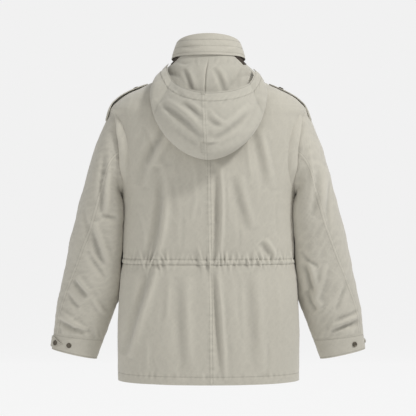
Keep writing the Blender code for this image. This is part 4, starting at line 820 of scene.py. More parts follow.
def collar_points(angle, share, out):
    """Points on the collar: share of its height, and how far outside its inner layer."""
    turn = np.radians(angle)
    foot = neckline(angle)
    outward = unit(foot * LEVEL)
    foot = foot - outward * COLLAR_INSET - np.array([0, 0, COLLAR_FOOT])
    depth = np.where(np.cos(turn) > 0, COLLAR_TOP_BACK, COLLAR_TOP_FRONT)
    rise = ((1 + np.cos(turn)) / 2) ** COLLAR_TOP_POWER
    top = np.stack([
        COLLAR_TOP_HALF_WIDTH * np.sin(turn),
        depth * np.cos(turn),
        COLLAR_FRONT_Z + (COLLAR_BACK_Z - COLLAR_FRONT_Z) * rise,
    ], axis=-1)
    bulge = COLLAR_BULGE * np.sin(np.pi * np.clip(share, 0, 1) ** COLLAR_BULGE_POWER)
    return foot + (top - foot) * np.asarray(share)[..., None] + outward * (bulge + out)[..., None]


# ---------------------------------------------------------------- hood form
def hood_points(row, place):
    """Points on the hood: place is -1 at the right shoulder, 0 at the seam and 1 at the left."""
    def column(name):
        return read(HOOD, name, row)

    leaning = place + column("seam_lean") * (1 - place**2)
    sine, drop = oval(leaning * np.radians(column("wrap")), column("power"))
    low = np.clip(drop, 0, 1)
    x = column("half_width") * sine + column("shift") * low + column("end_shift") * (1 - low)
    y = column("side_y") + (column("back_y") - column("side_y")) * drop
    z = column("side_z") + (column("back_z") - column("side_z")) * drop
    z = z + column("end_rise") * sine * (1 - low)
    points = np.stack([x, y, z], axis=-1)
    ends = ease(HOOD_ENDS[0], HOOD_ENDS[1], np.abs(place))
    clearance = column("clear_back") + ends * (column("clear_end") - column("clear_back"))
    clear = lift_off_torso(points, clearance)
    points = points + ease(*HOOD_LAID_ROWS, row)[..., None] * (clear - points)
    angle = place * HOOD_HALF_ANGLE
    tucked = zip_line(angle) + HOOD_TUCK
    held = collar_points(angle, tucked, np.full_like(angle, HOOD_TUCK_OUT))
    hold = 1 - ease(0.0, COLLAR_HOLD_REACH, row)
    return points + hold[..., None] * (held - points)


# ---------------------------------------------------------------- fine relief
def lengths(points, axis):
    """Distance travelled over a grid of points along one axis."""
    steps = np.linalg.norm(np.diff(points, axis=axis), axis=-1)
    pad = [(0, 0), (0, 0)]
    pad[axis] = (1, 0)
    return np.pad(np.cumsum(steps, axis=axis), pad)


def paint_crease_light_and_shade(points, normals, closed):
    """Painted light and shade: places that stand out from their surroundings are painted lighter, and hollows
    and creases darker.
    """
    total = 0
    for steps, gain in PAINTED_SHADE_SCALES:
        up = np.pad(points, ((steps, steps), (0, 0), (0, 0)), mode="edge")
        side = np.pad(points, ((0, 0), (steps, steps), (0, 0)), mode="wrap" if closed else "edge")
        around = (up[:-2 * steps] + up[2 * steps:] + side[:, :-2 * steps] + side[:, 2 * steps:]) / 4
        total = total + gain * np.sum((points - around) * normals, axis=-1) / (steps * PAINTED_SHADE_DEPTH)
    return np.clip(total, *PAINTED_SHADE_LIMITS).reshape(-1)


def smooth_rows(values, at):
    """Rows of values sampled at fractional places with a smooth curve."""
    i = np.clip(at.astype(int), 0, len(values) - 2)
    t = (at - i).reshape((-1,) + (1,) * (values.ndim - 1))
    before, after = values[np.maximum(i - 1, 0)], values[np.minimum(i + 2, len(values) - 1)]
    return cubic(t, values[i], values[i + 1], (values[i + 1] - before) / 2, (after - values[i]) / 2)


def ripple(first, second, length, seed):
    """Smooth uneven waves of about the given length, between about -1 and 1."""
    draw = np.random.default_rng(seed)
    total = np.zeros(np.broadcast(first, second).shape)
    for _ in range(RIPPLE_WAVES):
        turn, phase = draw.uniform(0, 2 * math.pi, 2)
        wave = length * draw.uniform(*RIPPLE_SPREAD)
        total += np.sin(2 * math.pi * (first * math.cos(turn) + second * math.sin(turn)) / wave + phase)
    return total / math.sqrt(2 * RIPPLE_WAVES)


def crinkle(first, second, seed):
    """Relief of washed cloth: a soft swell, and small ridges where it has creased."""
    swell, *ridges = RIPPLES
    total = swell[1] * ripple(first, second, swell[0], seed)
    for step, (length, height) in enumerate(ridges):
        total = total + height * (RIDGE_LEVEL - np.abs(ripple(first, second, length, seed + 1 + step)))
    return total


def groove(distance, lines, depth=SEAM_SINK, width=SEAM_SINK_WIDTH):
    """Cloth sunk along rows of stitches, by the distance from an edge."""
    return -depth * sum(np.exp(-((distance - line) / width)**2) for line in lines)


def seam_waves(distance, along, seed):
    """Small waves of the cloth beside a seam."""
    waves = ripple(along, 0 * along, SEAM_PUCKER_LENGTH, seed)
    return SEAM_PUCKER * waves * np.exp(-(distance / SEAM_PUCKER_REACH)**2)


def felled(distance, along, seed):
    """A flat-felled seam: a raised strip with a row of stitches on both edges."""
    strip = ease(-FELL_EDGE, FELL_EDGE, distance) * ease(FELL_EDGE, -FELL_EDGE, distance - FELL_WIDTH)
    waves = seam_waves(distance - FELL_WIDTH / 2, along, seed)
    return FELL_RISE * strip + waves + groove(distance, SEAM_STITCHES)


def pucker_height(word, x, z):
    """Gathers of the drawcord: slanted, uneven, in clusters."""
    draw = np.random.default_rng(PUCKER_SEED[word])
    total = np.zeros_like(x)
    rise = z - WAIST_Z
    for _, low, high, count, height, reach in PUCKERS[word]:
        for place in np.linspace(low, high, count):
            middle = place + draw.uniform(-PUCKER_SHIFT, PUCKER_SHIFT) * (high - low) / count
            slant = draw.uniform(-PUCKER_SLANT, PUCKER_SLANT)
            width = draw.uniform(*PUCKER_WIDTHS)
            up, down = reach * draw.uniform(*PUCKER_REACHES), reach * draw.uniform(*PUCKER_REACHES)
            tall = height * draw.uniform(*PUCKER_HEIGHTS)
            long = np.where(rise > 0, up, down)
            total += tall * np.exp(-((x - middle - slant * rise) / width)**2 - (rise / long)**2)
    return total


def channel_height(z):
    """The drawcord's channel: a soft tube between two sunk stitch lines."""
    middle = (CHANNEL_Z[0] + CHANNEL_Z[1]) / 2
    half = (CHANNEL_Z[0] - CHANNEL_Z[1]) / 2
    tube = CHANNEL_RISE * np.clip(1 - ((z - middle) / half)**2, 0, None)
    return tube + groove(z, CHANNEL_Z, CHANNEL_SINK, CHANNEL_SINK_WIDTH)


def seam_place(z):
    """The centre back seam's place at a height."""
    return SEAM_X[0] + (SEAM_X[1] - SEAM_X[0]) * z / HEM_Z


def torso_relief(facing, share, points):
    """Height of folds, creases, gathers and seams over the torso's plain form."""
    x, z = points[..., 0], points[..., 2]
    word = "back" if facing > 0 else "front"
    calm = ease(1.0, PLEAT_START, np.abs(share))
    near_edge = ease(1.0, EDGE_CALM, np.abs(share))
    from_hem = z - HEM_Z
    fine = CRINKLE_GAINS[word] * crinkle(x, z * CRINKLE_STRETCH, SEEDS[word]) + channel_height(z)
    fine = fine + groove(from_hem, (HEM_STITCH,)) + seam_waves(from_hem - HEM_STITCH, x, SEEDS["hem"])
    cinch = WAIST_CINCH * np.exp(-((z - WAIST_Z) / CINCH_REACH)**2)
    height = (drape(word, x, z) + pucker_height(word, x, z)) * calm + fine * near_edge - cinch
    if facing > 0:
        height += felled(x - seam_place(z), z, SEEDS["back seam"])
    return height


def torso_grid(facing, share, row_z):
    """Points and normals of a grid over the torso."""
    share, row_z = np.broadcast_arrays(share, row_z)
    if facing > 0:
        lean = torso_share(1, seam_place(row_z), row_z)
        share = share + lean * np.clip(1 - np.abs(share) / PLEAT_START, 0, None)
    points = torso_points(facing, share, row_z)
    if facing > 0:
        points = lay_pleat(points, share, row_z)
    outward = points * LEVEL
    normals = grid_normals(points, outward)
    return points + normals * torso_relief(facing, share, points)[..., None], normals


def sleeve_relief(side, at, points, normals):
    """Height of folds, creases and seams over a sleeve's and its cuff's plain form."""
    x, y, z = (points[..., k] for k in range(3))
    behind = drape("sleeve back", x, z) * ease(*SLEEVE_FOLDS_FACE, normals[..., 1])
    before = drape("sleeve front", x, z) * ease(*SLEEVE_FOLDS_FACE, -normals[..., 1])
    calm = ease(*SLEEVE_CALM_HEAD, at) * ease(*SLEEVE_CALM_END, at)
    near_head = ease(0.0, SLEEVE_EDGE, at)
    in_cuff = ease(1.0 - SLEEVE_EDGE, 1.0, at)
    seed = SEEDS[f"sleeve {side}"]
    facing = normals[..., 1] ** 2
    creased = CRINKLE_GAINS["sleeve"] * (facing * crinkle(x, z, seed) + (1 - facing) * crinkle(y, z, seed))
    height = calm * (behind + before) + near_head * (1 - CUFF_CALM * in_cuff) * creased
    travelled = lengths(points, 1)
    length = SLEEVE_LENGTH * at + 0 * x
    outside = 1 - in_cuff
    elbow = felled(travelled[:, ELBOW_COLUMN:ELBOW_COLUMN + 1] - travelled, length, seed)
    inner = seam_waves(travelled - travelled[:, INNER_COLUMN:INNER_COLUMN + 1], length, seed)
    height = height + near_head * outside * (elbow + inner)
    gathers = ripple(travelled, 0 * travelled, CUFF_GATHER_LENGTH, seed)
    height = height + CUFF_GATHER * gathers * np.exp(-((at - 1) / CUFF_GATHER_REACH)**2) * outside
    below = (at - 1) * CUFF_LENGTH
    return height + groove(below, (EDGE_STITCH, (CUFF_END - 1) * CUFF_LENGTH - EDGE_STITCH)) * in_cuff


def sleeve_grid(side, at, angles):
    """Points and normals of a ringed grid on a sleeve."""
    at = at[:, None]
    points = sleeve_points(at, angles)
    outward = points - points.mean(axis=1, keepdims=True)
    normals = grid_normals(points, outward, closed=True)
    mirror = np.array([SIDES[side], 1.0, 1.0])
    points, normals = points * mirror, normals * mirror
    return points + normals * sleeve_relief(side, at, points, normals)[..., None], normals


def hood_grid(row, place):
    """Points and normals of a grid on the hood, with its folds, its rim's channel and its seam."""
    row, place = np.broadcast_arrays(row, place)
    points = hood_points(row, place)
    normals = unit(np.cross(np.gradient(points, axis=1), np.gradient(points, axis=0)))
    x, z = points[..., 0], points[..., 2]
    down, across = lengths(points, 0), lengths(points, 1)
    from_rim = down[-1] - down
    middle = (row.shape[1] - 1) // 2
    beside = across[:, middle:middle + 1] - across
    outside = ease(*HOOD_OUTSIDE_ROWS, row)
    inside = ease(*HOOD_INSIDE_ROWS, row) * ease(*HOOD_TUCKED_ROWS, row)
    outer = drape("hood", x, z) + CRINKLE_GAINS["hood"] * crinkle(x, z, SEEDS["hood"])
    outer = outer + HOOD_CHANNEL_RISE * ease(HOOD_CHANNEL + FELL_EDGE, HOOD_CHANNEL - FELL_EDGE, from_rim)
    outer = outer + groove(from_rim, (HOOD_CHANNEL, EDGE_STITCH))
    outer = outer + seam_waves(from_rim - HOOD_CHANNEL, across, SEEDS["rim"])
    outer = outer + felled(beside, down, SEEDS["hood seam"])
    inner = drape("hood inside", x, z) + CRINKLE_GAINS["hood inside"] * crinkle(x, z, SEEDS["hood inside"])
    inner = inner + groove(beside, (0.0,), INNER_SEAM_SINK, INNER_SEAM_WIDTH)
    sense = np.sign(np.sum(normals[..., 1] * outside))
    return points + normals * (sense * (outside * outer - inside * inner))[..., None], normals


def front_surface(x, z):
    """Points and normals of the front's own surface at places x, z."""
    x, z = np.broadcast_arrays(x, z)
    half, depth, power = torso_section(-1, z)
    y = -depth * (1 - (np.abs(x) / half)**power) ** (1 / power)
    points = np.stack([x, y, z], axis=-1)
    outward = np.broadcast_to([0.0, -1.0, 0.0], points.shape)
    relief = torso_relief(-1, torso_share(-1, x, z), points)
    points = points + grid_normals(points, outward) * relief[..., None]
    return points, grid_normals(points, outward)


def cuff_place(side, at, angle, out):
    """Point and normal a distance outside the sleeve's or cuff's middle surface."""
    around = np.radians(angle) + CUFF_NUDGE * np.array([[-1.0, 0.0, 1.0]])
    along = at + CUFF_NUDGE * np.array([[-1.0], [0.0], [1.0]])
    points = sleeve_points(along, around + 0 * along)
    whole = sleeve_points(np.array([[at]]), sleeve_angles(np.array([at])))
    normals = grid_normals(points, points - whole.mean(axis=1, keepdims=True))
    mirror = np.array([SIDES[side], 1.0, 1.0])
    return (points[1, 1] + normals[1, 1] * out) * mirror, normals[1, 1] * mirror


def strap_grid(side):
    """Points and normals of a shoulder strap, moved out from the shoulder and the sleeve head."""
    rows = []
    across = np.linspace(-1, 1, STRAP_COLUMNS + 1)
    for z, half in zip(STRAP_BODY_Z, STRAP_HALF_WIDTHS):
        y = across * half
        rows.append(np.stack([torso_half_width_at(y, np.full_like(y, z)), y, np.full_like(y, z)], axis=-1))
    for at, half in zip(STRAP_SLEEVE_AT, STRAP_HALF_WIDTHS[len(STRAP_BODY_Z):]):
        angle = np.arcsin(across * half / ARMHOLE_HALF_DEPTH)
        rows.append(sleeve_points(np.full_like(angle, at), angle))
    points = np.stack(rows)
    normals = grid_normals(points, np.broadcast_to(STRAP_FACING, points.shape))
    along = np.linspace(0, 1, len(points))[:, None, None]
    arch = STRAP_ARCH[side] * np.sin(np.pi * along)
    points = points + normals * (CLOTH / 2 + STRAP_LAY + DOUBLE / 2 + arch)
    mirror = np.array([SIDES[side], 1.0, 1.0])
    return points * mirror, grid_normals(points, normals) * mirror


# ---------------------------------------------------------------- shells and pieces
def new_mesh(name, vertices, faces, sharp=None):
    """A smooth mesh, whose edges are sharp past an angle if one is given."""
    mesh = bpy.data.meshes.new(name)
    mesh.from_pydata(vertices.reshape(-1, 3).tolist(), [], faces)
    mesh.shade_smooth()
    if sharp:
        mesh.set_sharp_from_angle(angle=math.radians(sharp))
    return mesh


def shell(name, points, normals, thickness, closed=False):
    """A closed thin wall on both sides of a grid, with its cloth coordinates in metres and the painted light
    and shade of its relief.
    """
    rows, columns = points.shape[:2]
    count = rows * columns
    number = np.arange(count).reshape(rows, columns)
    if closed:
        number = np.concatenate([number, number[:, :1]], axis=1)
        rims = [number[0], number[-1, ::-1]]
    else:
        sides = [number[0], number[1:, -1], number[-1, -2::-1], number[-2:0:-1, 0], number[:1, 0]]
        rims = [np.concatenate(sides)]
    corners = (number[:-1, :-1], number[:-1, 1:], number[1:, 1:], number[1:, :-1])
    quads = np.stack(corners, axis=-1).reshape(-1, 4)
    edges = [np.stack([rim[:-1], rim[1:], rim[1:] + count, rim[:-1] + count], axis=-1) for rim in rims]
    edges = np.concatenate(edges)
    facing = np.cross(points[0, 1] - points[0, 0], points[1, 0] - points[0, 0]) @ normals[0, 0]
    if facing < 0:
        quads = quads[:, ::-1]
    else:
        edges = edges[:, ::-1]
    faces = np.concatenate([quads, quads[:, ::-1] + count, edges])
    half = normals * thickness / 2
    mesh = new_mesh(name, np.stack([points + half, points - half]), faces.tolist(), RIM_ANGLE)
    flat = np.stack([lengths(points, 1), lengths(points, 0)], axis=-1).reshape(-1, 2)
    layer = mesh.uv_layers.new(name="cloth")
    layer.data.foreach_set("uv", np.concatenate([flat, flat])[faces.reshape(-1)].reshape(-1))
    # Painted light on raised places and painted shade in creases, reversed on the inner face.
    painted_light_and_shade = paint_crease_light_and_shade(points, normals, closed)
    mesh.attributes.new("painted_light_and_shade", "FLOAT", "POINT").data.foreach_set("value", np.concatenate([painted_light_and_shade, -painted_light_and_shade]))
    return mesh


def piece(name, mesh, finish, slot, *nodes):
    """A shown piece, which rides on the jacket and stands for its solids."""
    made = add_object(name, mesh)
    made.data.materials.append(finish)
    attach(made, "root")
    if nodes:
        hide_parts(*nodes)
    return made


def cloth_piece(name, panel, finish, closed=False):
    """A shown cloth piece for the solid of its name."""
    made = piece(f"cloth_{name}", shell(name, *panel, closed), finish, "cloth", name)


# ---------------------------------------------------------------- stitches and teeth
def at_index(grid, row, column):
    """A grid's values at fractional rows and columns."""
    row, column = np.broadcast_arrays(np.asarray(row, float), np.asarray(column, float))
    row, column = np.clip(row, 0, grid.shape[0] - 1), np.clip(column, 0, grid.shape[1] - 1)
    i = np.minimum(row.astype(int), grid.shape[0] - 2)
    j = np.minimum(column.astype(int), grid.shape[1] - 2)
    u, v = (row - i)[..., None], (column - j)[..., None]
    near = grid[i, j] * (1 - v) + grid[i, j + 1] * v
    far = grid[i + 1, j] * (1 - v) + grid[i + 1, j + 1] * v
    return near * (1 - u) + far * u


def beside_column(panel, offset, from_end=False, rows=None):
    """A line on a panel at a distance from its first or last column."""
    points, normals, thickness = panel
    if from_end:
        points, normals = points[:, ::-1], normals[:, ::-1]
    travelled = lengths(points, 1)
    low, high = rows or (0, len(points))
    row = np.arange(low, high)
    column = np.array([np.interp(offset, travelled[i], np.arange(points.shape[1])) for i in row])
    normal = unit(at_index(normals, row, column))
    return at_index(points, row, column) + normal * thickness / 2, normal


def beside_row(panel, offset, from_end=False, columns=None):
    """A line on a panel at a distance from its first or last row."""
    points, normals, thickness = panel
    turned = (np.swapaxes(points, 0, 1), np.swapaxes(normals, 0, 1), thickness)
    return beside_column(turned, offset, from_end, columns)


def edge_lines(panel, offset):
    """Stitch lines inside the four edges of a panel."""
    return [line(panel, offset, last) for line in (beside_column, beside_row) for last in (False, True)]


def along_line(line, pitch):
    """Short runs along a line, one a pitch: their starts, ends, directions, normals and sides."""
    points, normals = line
    travelled = np.concatenate([[0], np.cumsum(np.linalg.norm(np.diff(points, axis=0), axis=-1))])
    spots = np.arange(pitch / 2, travelled[-1] - pitch / 2, pitch)
    reach = STITCH_SHARE * pitch / 2
    start, end, normal = (
        np.stack([np.interp(at, travelled, values[:, k]) for k in range(3)], axis=-1)
        for values, at in ((points, spots - reach), (points, spots + reach), (normals, spots)))
    run, normal = unit(end - start), unit(normal)
    return start, end, run, normal, unit(np.cross(normal, run))


def repeated(faces, count, step):
    """The faces of one small body repeated for all of a row of bodies."""
    return [[v + step * n for v in face] for n in range(count) for face in faces]


def stitches(name, lines, finish):
    """One joined mesh of all the stitches on some lines: thin spindles of four sides."""
    parts = [along_line(line, STITCH_PITCH) for line in lines]
    start, end, _, normal, side = (np.concatenate([part[k] for part in parts]) for k in range(5))
    vertices = []
    for share, wide, rise in STITCH_RINGS:
        middle = start + (end - start) * share
        for across, up in STITCH_SIDES:
            offset = side * across * wide * STITCH_WIDTH / 2
            offset = offset + normal * (up * wide * STITCH_FLATNESS + rise) * STITCH_WIDTH
            vertices.append(middle + offset)
    rings, sides = len(STITCH_RINGS), len(STITCH_SIDES)
    base = [[i * sides + k, i * sides + after, (i + 1) * sides + after, (i + 1) * sides + k]
            for i in range(rings - 1) for k, after in enumerate((*range(1, sides), 0))]
    base += [list(range(sides))[::-1], list(range((rings - 1) * sides, rings * sides))]
    faces = repeated(base, len(start), rings * sides)
    piece(name, new_mesh(name, np.stack(vertices, axis=1), faces), finish, "cloth")


def add_teeth(name, line, finish):
    """Zip teeth along a line: short tapered blocks across it."""
    start, end, run, normal, side = along_line(line, TOOTH_PITCH)
    long, wide, tall = TOOTH_SIZE
    vertices = []
    for rise, taper in TOOTH_LEVELS:
        for a, b in ((-1, -1), (1, -1), (1, 1), (-1, 1)):
            offset = run * a * taper * long / 2 + side * b * taper * wide / 2 + normal * rise * tall
            vertices.append((start + end) / 2 + offset)
    base = [[0, 1, 2, 3], [7, 6, 5, 4], [0, 4, 5, 1], [1, 5, 6, 2], [2, 6, 7, 3], [3, 7, 4, 0]]
    faces = repeated(base, len(start), len(vertices))
    mesh = new_mesh(name, np.stack(vertices, axis=1), faces, TOOTH_SHARP_ANGLE)
    piece(name, mesh, finish, "zip_tape")


# ---------------------------------------------------------------- finishes
class Finish:
    """A Principled material, whose nodes are made and linked by short calls."""

    def __init__(self, name, colour, roughness, metallic=0.0):
        self.made = bpy.data.materials.new(name)
        self.made.use_nodes = True
        self.shader = self.made.node_tree.nodes["Principled BSDF"]
        self.set(self.shader, Base_Color=(*colour, 1.0), Roughness=roughness, Metallic=metallic)
        self.place = self.node("TexCoord").outputs["Object"]

    def join(self, value, socket):
        """Links a socket to another one, or sets it to a value."""
        if isinstance(value, bpy.types.NodeSocket):
            self.made.node_tree.links.new(value, socket)
        else:
            socket.default_value = value

    def set(self, node, **inputs):
        """Joins values to a node's inputs by name, with _ for each space."""
        for word, value in inputs.items():
            self.join(value, node.inputs[word.replace("_", " ")])

    def node(self, kind, **inputs):
        """A new node with values joined to its inputs."""
        node = self.made.node_tree.nodes.new(f"ShaderNode{kind}")
        self.set(node, **inputs)
        return node

    def calc(self, operation, *values):
        """A math node's result."""
        node = self.node("Math")
        node.operation = operation
        for value, socket in zip(values, node.inputs):
            self.join(value, socket)
        return node.outputs[0]

    def noise(self, scale, detail, roughness):
        """A noise texture's value over the piece."""
        node = self.node("TexNoise", Vector=self.place, Scale=scale, Detail=detail, Roughness=roughness)
        return node.outputs["Fac"]

    def bump(self, height, distance, strength):
        """Fine relief of the surface."""
        node = self.node("Bump", Height=height, Distance=distance, Strength=strength)
        self.set(self.shader, Normal=node.outputs["Normal"])


def cotton(name, colour, mottle=CLOTH_MOTTLE, sheen=CLOTH_SHEEN):
    """Washed plain-weave cotton: threads both ways, slubs, mottled dye, painted light and shade over its
    relief, and a dry surface.
    """
    finish = Finish(name, colour, CLOTH_ROUGHNESS)
    finish.set(finish.shader, Specular_IOR_Level=CLOTH_SPECULAR, Sheen_Weight=sheen)
    finish.set(finish.shader, Sheen_Roughness=SHEEN_ROUGHNESS)
    flat = finish.node("UVMap")
    flat.uv_map = "cloth"
    split = finish.node("SeparateXYZ", Vector=flat.outputs["UV"])
    turns = [finish.calc("MULTIPLY", split.outputs[axis], 2 * math.pi / THREAD_PITCH) for axis in ("X", "Y")]
    weave = finish.calc("MULTIPLY", *(finish.calc("SINE", turn) for turn in turns))
    broad, fine, slub = (finish.noise(*row) for row in (BROAD_NOISE, FINE_NOISE, SLUB_NOISE))
    shade = finish.calc("MULTIPLY_ADD", broad, mottle, 1.0 - mottle / 2)
    shade = finish.calc("MULTIPLY_ADD", fine, mottle * FINE_SHADE, shade)
    shade = finish.calc("MULTIPLY_ADD", slub, mottle * SLUB_SHADE, shade)
    shade = finish.calc("MULTIPLY_ADD", weave, WEAVE_SHADE, shade)
    shade = finish.calc("SUBTRACT", shade, mottle * (FINE_SHADE + SLUB_SHADE) / 2)
    # Painted light and shade from the mesh's relief, added to the dye's mottle.
    painted_light_and_shade = finish.node("Attribute")
    painted_light_and_shade.attribute_name = "painted_light_and_shade"
    shade = finish.calc("ADD", shade, painted_light_and_shade.outputs["Fac"])
    grey = finish.node("CombineColor", Red=shade, Green=shade, Blue=shade)
    tint = finish.node("Mix")
    tint.data_type = "RGBA"
    tint.blend_type = "MULTIPLY"
    finish.set(tint, Factor=1.0, A=(*colour, 1.0), B=grey.outputs["Color"])
    finish.set(finish.shader, Base_Color=tint.outputs["Result"])
    height = finish.calc("MULTIPLY_ADD", weave, WEAVE_BUMP, finish.calc("MULTIPLY", slub, SLUB_BUMP))
    finish.bump(finish.calc("MULTIPLY_ADD", fine, FINE_BUMP, height), WEAVE_DEPTH, WEAVE_STRENGTH)
    return finish.made


def thread_finish_with_seam_shade():
    """Matt cotton thread, a little darker than the cloth: partly the thread's own colour, partly painted
    shade of the sunk seam lines.
    """
    finish = Finish("thread", COLOURS["thread"], THREAD_ROUGHNESS[0])
    rough = finish.calc("MULTIPLY_ADD", finish.noise(*THREAD_NOISE), THREAD_ROUGHNESS[1], THREAD_ROUGHNESS[0])
    finish.set(finish.shader, Roughness=rough)
    return finish.made


def aged_metal(name, colour):
    """Darkened metal, rubbed lighter in places."""
    finish = Finish(name, colour, METAL_ROUGHNESS[0], 1.0)
    wear = finish.noise(*WEAR_NOISE)
    rough = finish.calc("MULTIPLY_ADD", wear, METAL_ROUGHNESS[1], METAL_ROUGHNESS[0])
    finish.set(finish.shader, Roughness=rough)
    finish.bump(wear, WEAR_DEPTH, 1.0)
    return finish.made


# ---------------------------------------------------------------- the jacket's pieces
def body_rows():
    """Heights of the body's rows, from the neck to the hem."""
    shoulder = np.linspace(0, SHOULDER_POINT_Z, SHOULDER_STEPS + 1)[:-1]
    turn = np.arange(ARMHOLE_STEPS + 1) * math.pi / ARMHOLE_STEPS
    armhole = ARMHOLE_MIDDLE_Z + (SHOULDER_POINT_Z - ARMHOLE_MIDDLE_Z) * np.cos(turn)
    upper = np.linspace(UNDERARM_Z, CHANNEL_SPAN[0], UPPER_STEPS + 1)[1:]
    channel = np.linspace(*CHANNEL_SPAN, CHANNEL_STEPS + 1)[1:]
    lower = np.linspace(CHANNEL_SPAN[1], HEM_Z, LOWER_STEPS + 1)[1:]
    return np.concatenate([shoulder, armhole, upper, channel, lower])


def half_shares(facing):
    """Shares of the half width at which a body panel has its columns."""
    if facing < 0:
        return np.linspace(0, 1, FRONT_COLUMNS + 1)
    beside_seam = np.linspace(0, SEAM_SHARE, SEAM_COLUMNS + 1)
    plain = np.linspace(SEAM_SHARE, PLEAT_START, BACK_COLUMNS + 1)
    return np.concatenate([beside_seam, plain[1:], np.linspace(PLEAT_START, 1, PLEAT_DETAIL + 1)[1:]])


def body_forms():
    """Grids over the back and the front, from the left side to the right."""
    heights = body_rows()
    forms = {}
    for facing in (1, -1):
        half = half_shares(facing)
        share = np.concatenate([half[::-1], -half[1:]])
        forms[facing] = torso_grid(facing, share[None, :], heights[:, None])
    return forms


def sleeve_forms():
    """Ringed grids of both sleeves and cuffs."""
    at = np.concatenate([np.linspace(0, 1, SLEEVE_STEPS + 1), np.linspace(1, CUFF_END, CUFF_STEPS + 1)[1:]])
    return {side: sleeve_grid(side, at, sleeve_angles(at)) for side in SIDES}


def share_normals(forms, sleeves):
    """One normal for both pieces along the shoulder, armhole, side and sleeve-head seams."""
    back_normals, front_normals = forms[1][1], forms[-1][1]
    heights = body_rows()
    for side, edge in (("left", 0), ("right", -1)):
        head = sleeves[side][1][0]
        for i in range(len(back_normals)):
            k = i - SHOULDER_STEPS
            sharing = [back_normals[i, edge], front_normals[i, edge]]
            if not 0 <= k <= ARMHOLE_STEPS:
                back_normals[i, edge] = front_normals[i, edge] = unit(sharing[0] + sharing[1])
            elif k in (0, ARMHOLE_STEPS):
                joined = unit(unit(sharing[0] + sharing[1]) + head[k])
                back_normals[i, edge] = front_normals[i, edge] = head[k] = joined
            else:
                column = (-k) % (2 * ARMHOLE_STEPS)
                front_normals[i, edge] = head[column] = unit(sharing[1] + head[column])
                if pleat_opening(heights[i]) < PLEAT_SHARES:
                    back_normals[i, edge] = head[k] = unit(sharing[0] + head[k])


def level_line(panel, z, heights):
    """A line along a body panel at a height."""
    points, normals, thickness = panel
    row = float(np.interp(-z, -heights, np.arange(len(heights))))
    columns = np.arange(points.shape[1])
    normal = unit(at_index(normals, row, columns))
    return at_index(points, row, columns) + normal * thickness / 2, normal


def add_body(finish, thread):
    """Back and front halves with their seams and stitches; returns the sleeves' forms."""
    forms, sleeves = body_forms(), sleeve_forms()
    share_normals(forms, sleeves)
    heights = body_rows()
    panels = {}
    for facing, word in ((1, "back"), (-1, "front")):
        points, normals = forms[facing]
        middle = (points.shape[1] - 1) // 2
        for side, part in (("left", slice(0, middle + 1)), ("right", slice(middle, None))):
            name = f"{word}_{side}"
            panels[name] = (points[:, part], normals[:, part], CLOTH)
            cloth_piece(name, panels[name], finish)
    lines = [beside_column(panels["back_left"], offset, True) for offset in SEAM_STITCHES]
    for name, panel in panels.items():
        lines.append(beside_row(panel, HEM_STITCH, True))
        lines += [level_line(panel, z, heights) for z in CHANNEL_Z]
        if name.startswith("front"):
            lines += [beside_column(panel, offset, name.endswith("right")) for offset in SEAM_STITCHES]
    stitches("stitches_body", lines, thread)
    return sleeves


def add_sleeves(sleeves, finish, thread):
    """Upper sleeve, under sleeve and cuff of each arm."""
    rings = SLEEVE_STEPS + 1
    around = 2 * ARMHOLE_STEPS
    upper = [c % around for c in range(INNER_COLUMN, around + ELBOW_COLUMN + 1)]
    under = list(range(ELBOW_COLUMN, INNER_COLUMN + 1))
    for side, (points, normals) in sleeves.items():
        lines = []
        for word, columns in (("upper", upper), ("under", under)):
            name = f"sleeve_{word}_{side}"
            panel = (points[:rings, columns], normals[:rings, columns], CLOTH)
            cloth_piece(name, panel, finish)
            if word == "upper":
                lines += [beside_column(panel, offset, True) for offset in SEAM_STITCHES]
        cuff = (points[rings - 1:], normals[rings - 1:], DOUBLE)
        cloth_piece(f"cuff_{side}", cuff, finish, closed=True)
        ringed = (*(np.concatenate([grid, grid[:, :1]], axis=1) for grid in cuff[:2]), DOUBLE)
        lines += [beside_row(ringed, EDGE_STITCH, last) for last in (False, True)]
        stitches(f"stitches_sleeve_{side}", lines, thread)


def collar_layers(angle):
    """Height and distance out of the collar's rows, smoothed over its top fold."""
    low = zip_line(angle)
    heights = [share + 0 * angle for share, _ in INNER_LAYER]
    heights += [low + (1 - low) * share for share, _ in OUTER_LAYER]
    outs = [out + 0 * angle for _, out in INNER_LAYER + OUTER_LAYER]
    place = np.linspace(0, len(outs) - 1, COLLAR_LAYER_STEPS * (len(outs) - 1) + 1)
    return smooth_rows(np.stack([heights, outs], axis=1), place)


def collar_grid():
    """Rows up the collar's inner layer, over its top fold and down to the zip line."""
    angle = np.linspace(-COLLAR_END, COLLAR_END, COLLAR_DETAIL + 1)
    points = np.stack([collar_points(angle, *row) for row in collar_layers(angle)])
    last_inner = (len(INNER_LAYER) - 1) * COLLAR_LAYER_STEPS
    fold_top = last_inner + COLLAR_LAYER_STEPS / 2
    normals = unit(np.cross(np.gradient(points, axis=1), np.gradient(points, axis=0)))
    outside = ease(fold_top, fold_top + COLLAR_LAYER_STEPS, np.arange(len(points)))[:, None]
    x, z = points[..., 0], points[..., 2]
    down = lengths(points, 0)
    across = lengths(points, 1)
    relief = CRINKLE_GAINS["collar"] * crinkle(across, z, SEEDS["collar"])
    relief = relief + drape("collar", x, z) * (points[..., 1] > 0)
    relief = relief + groove(down[-1] - down, COLLAR_STITCHES)
    sense = np.sign(normals[-1, COLLAR_DETAIL // 2, 1])
    return points + normals * (sense * relief * outside)[..., None], normals * sense


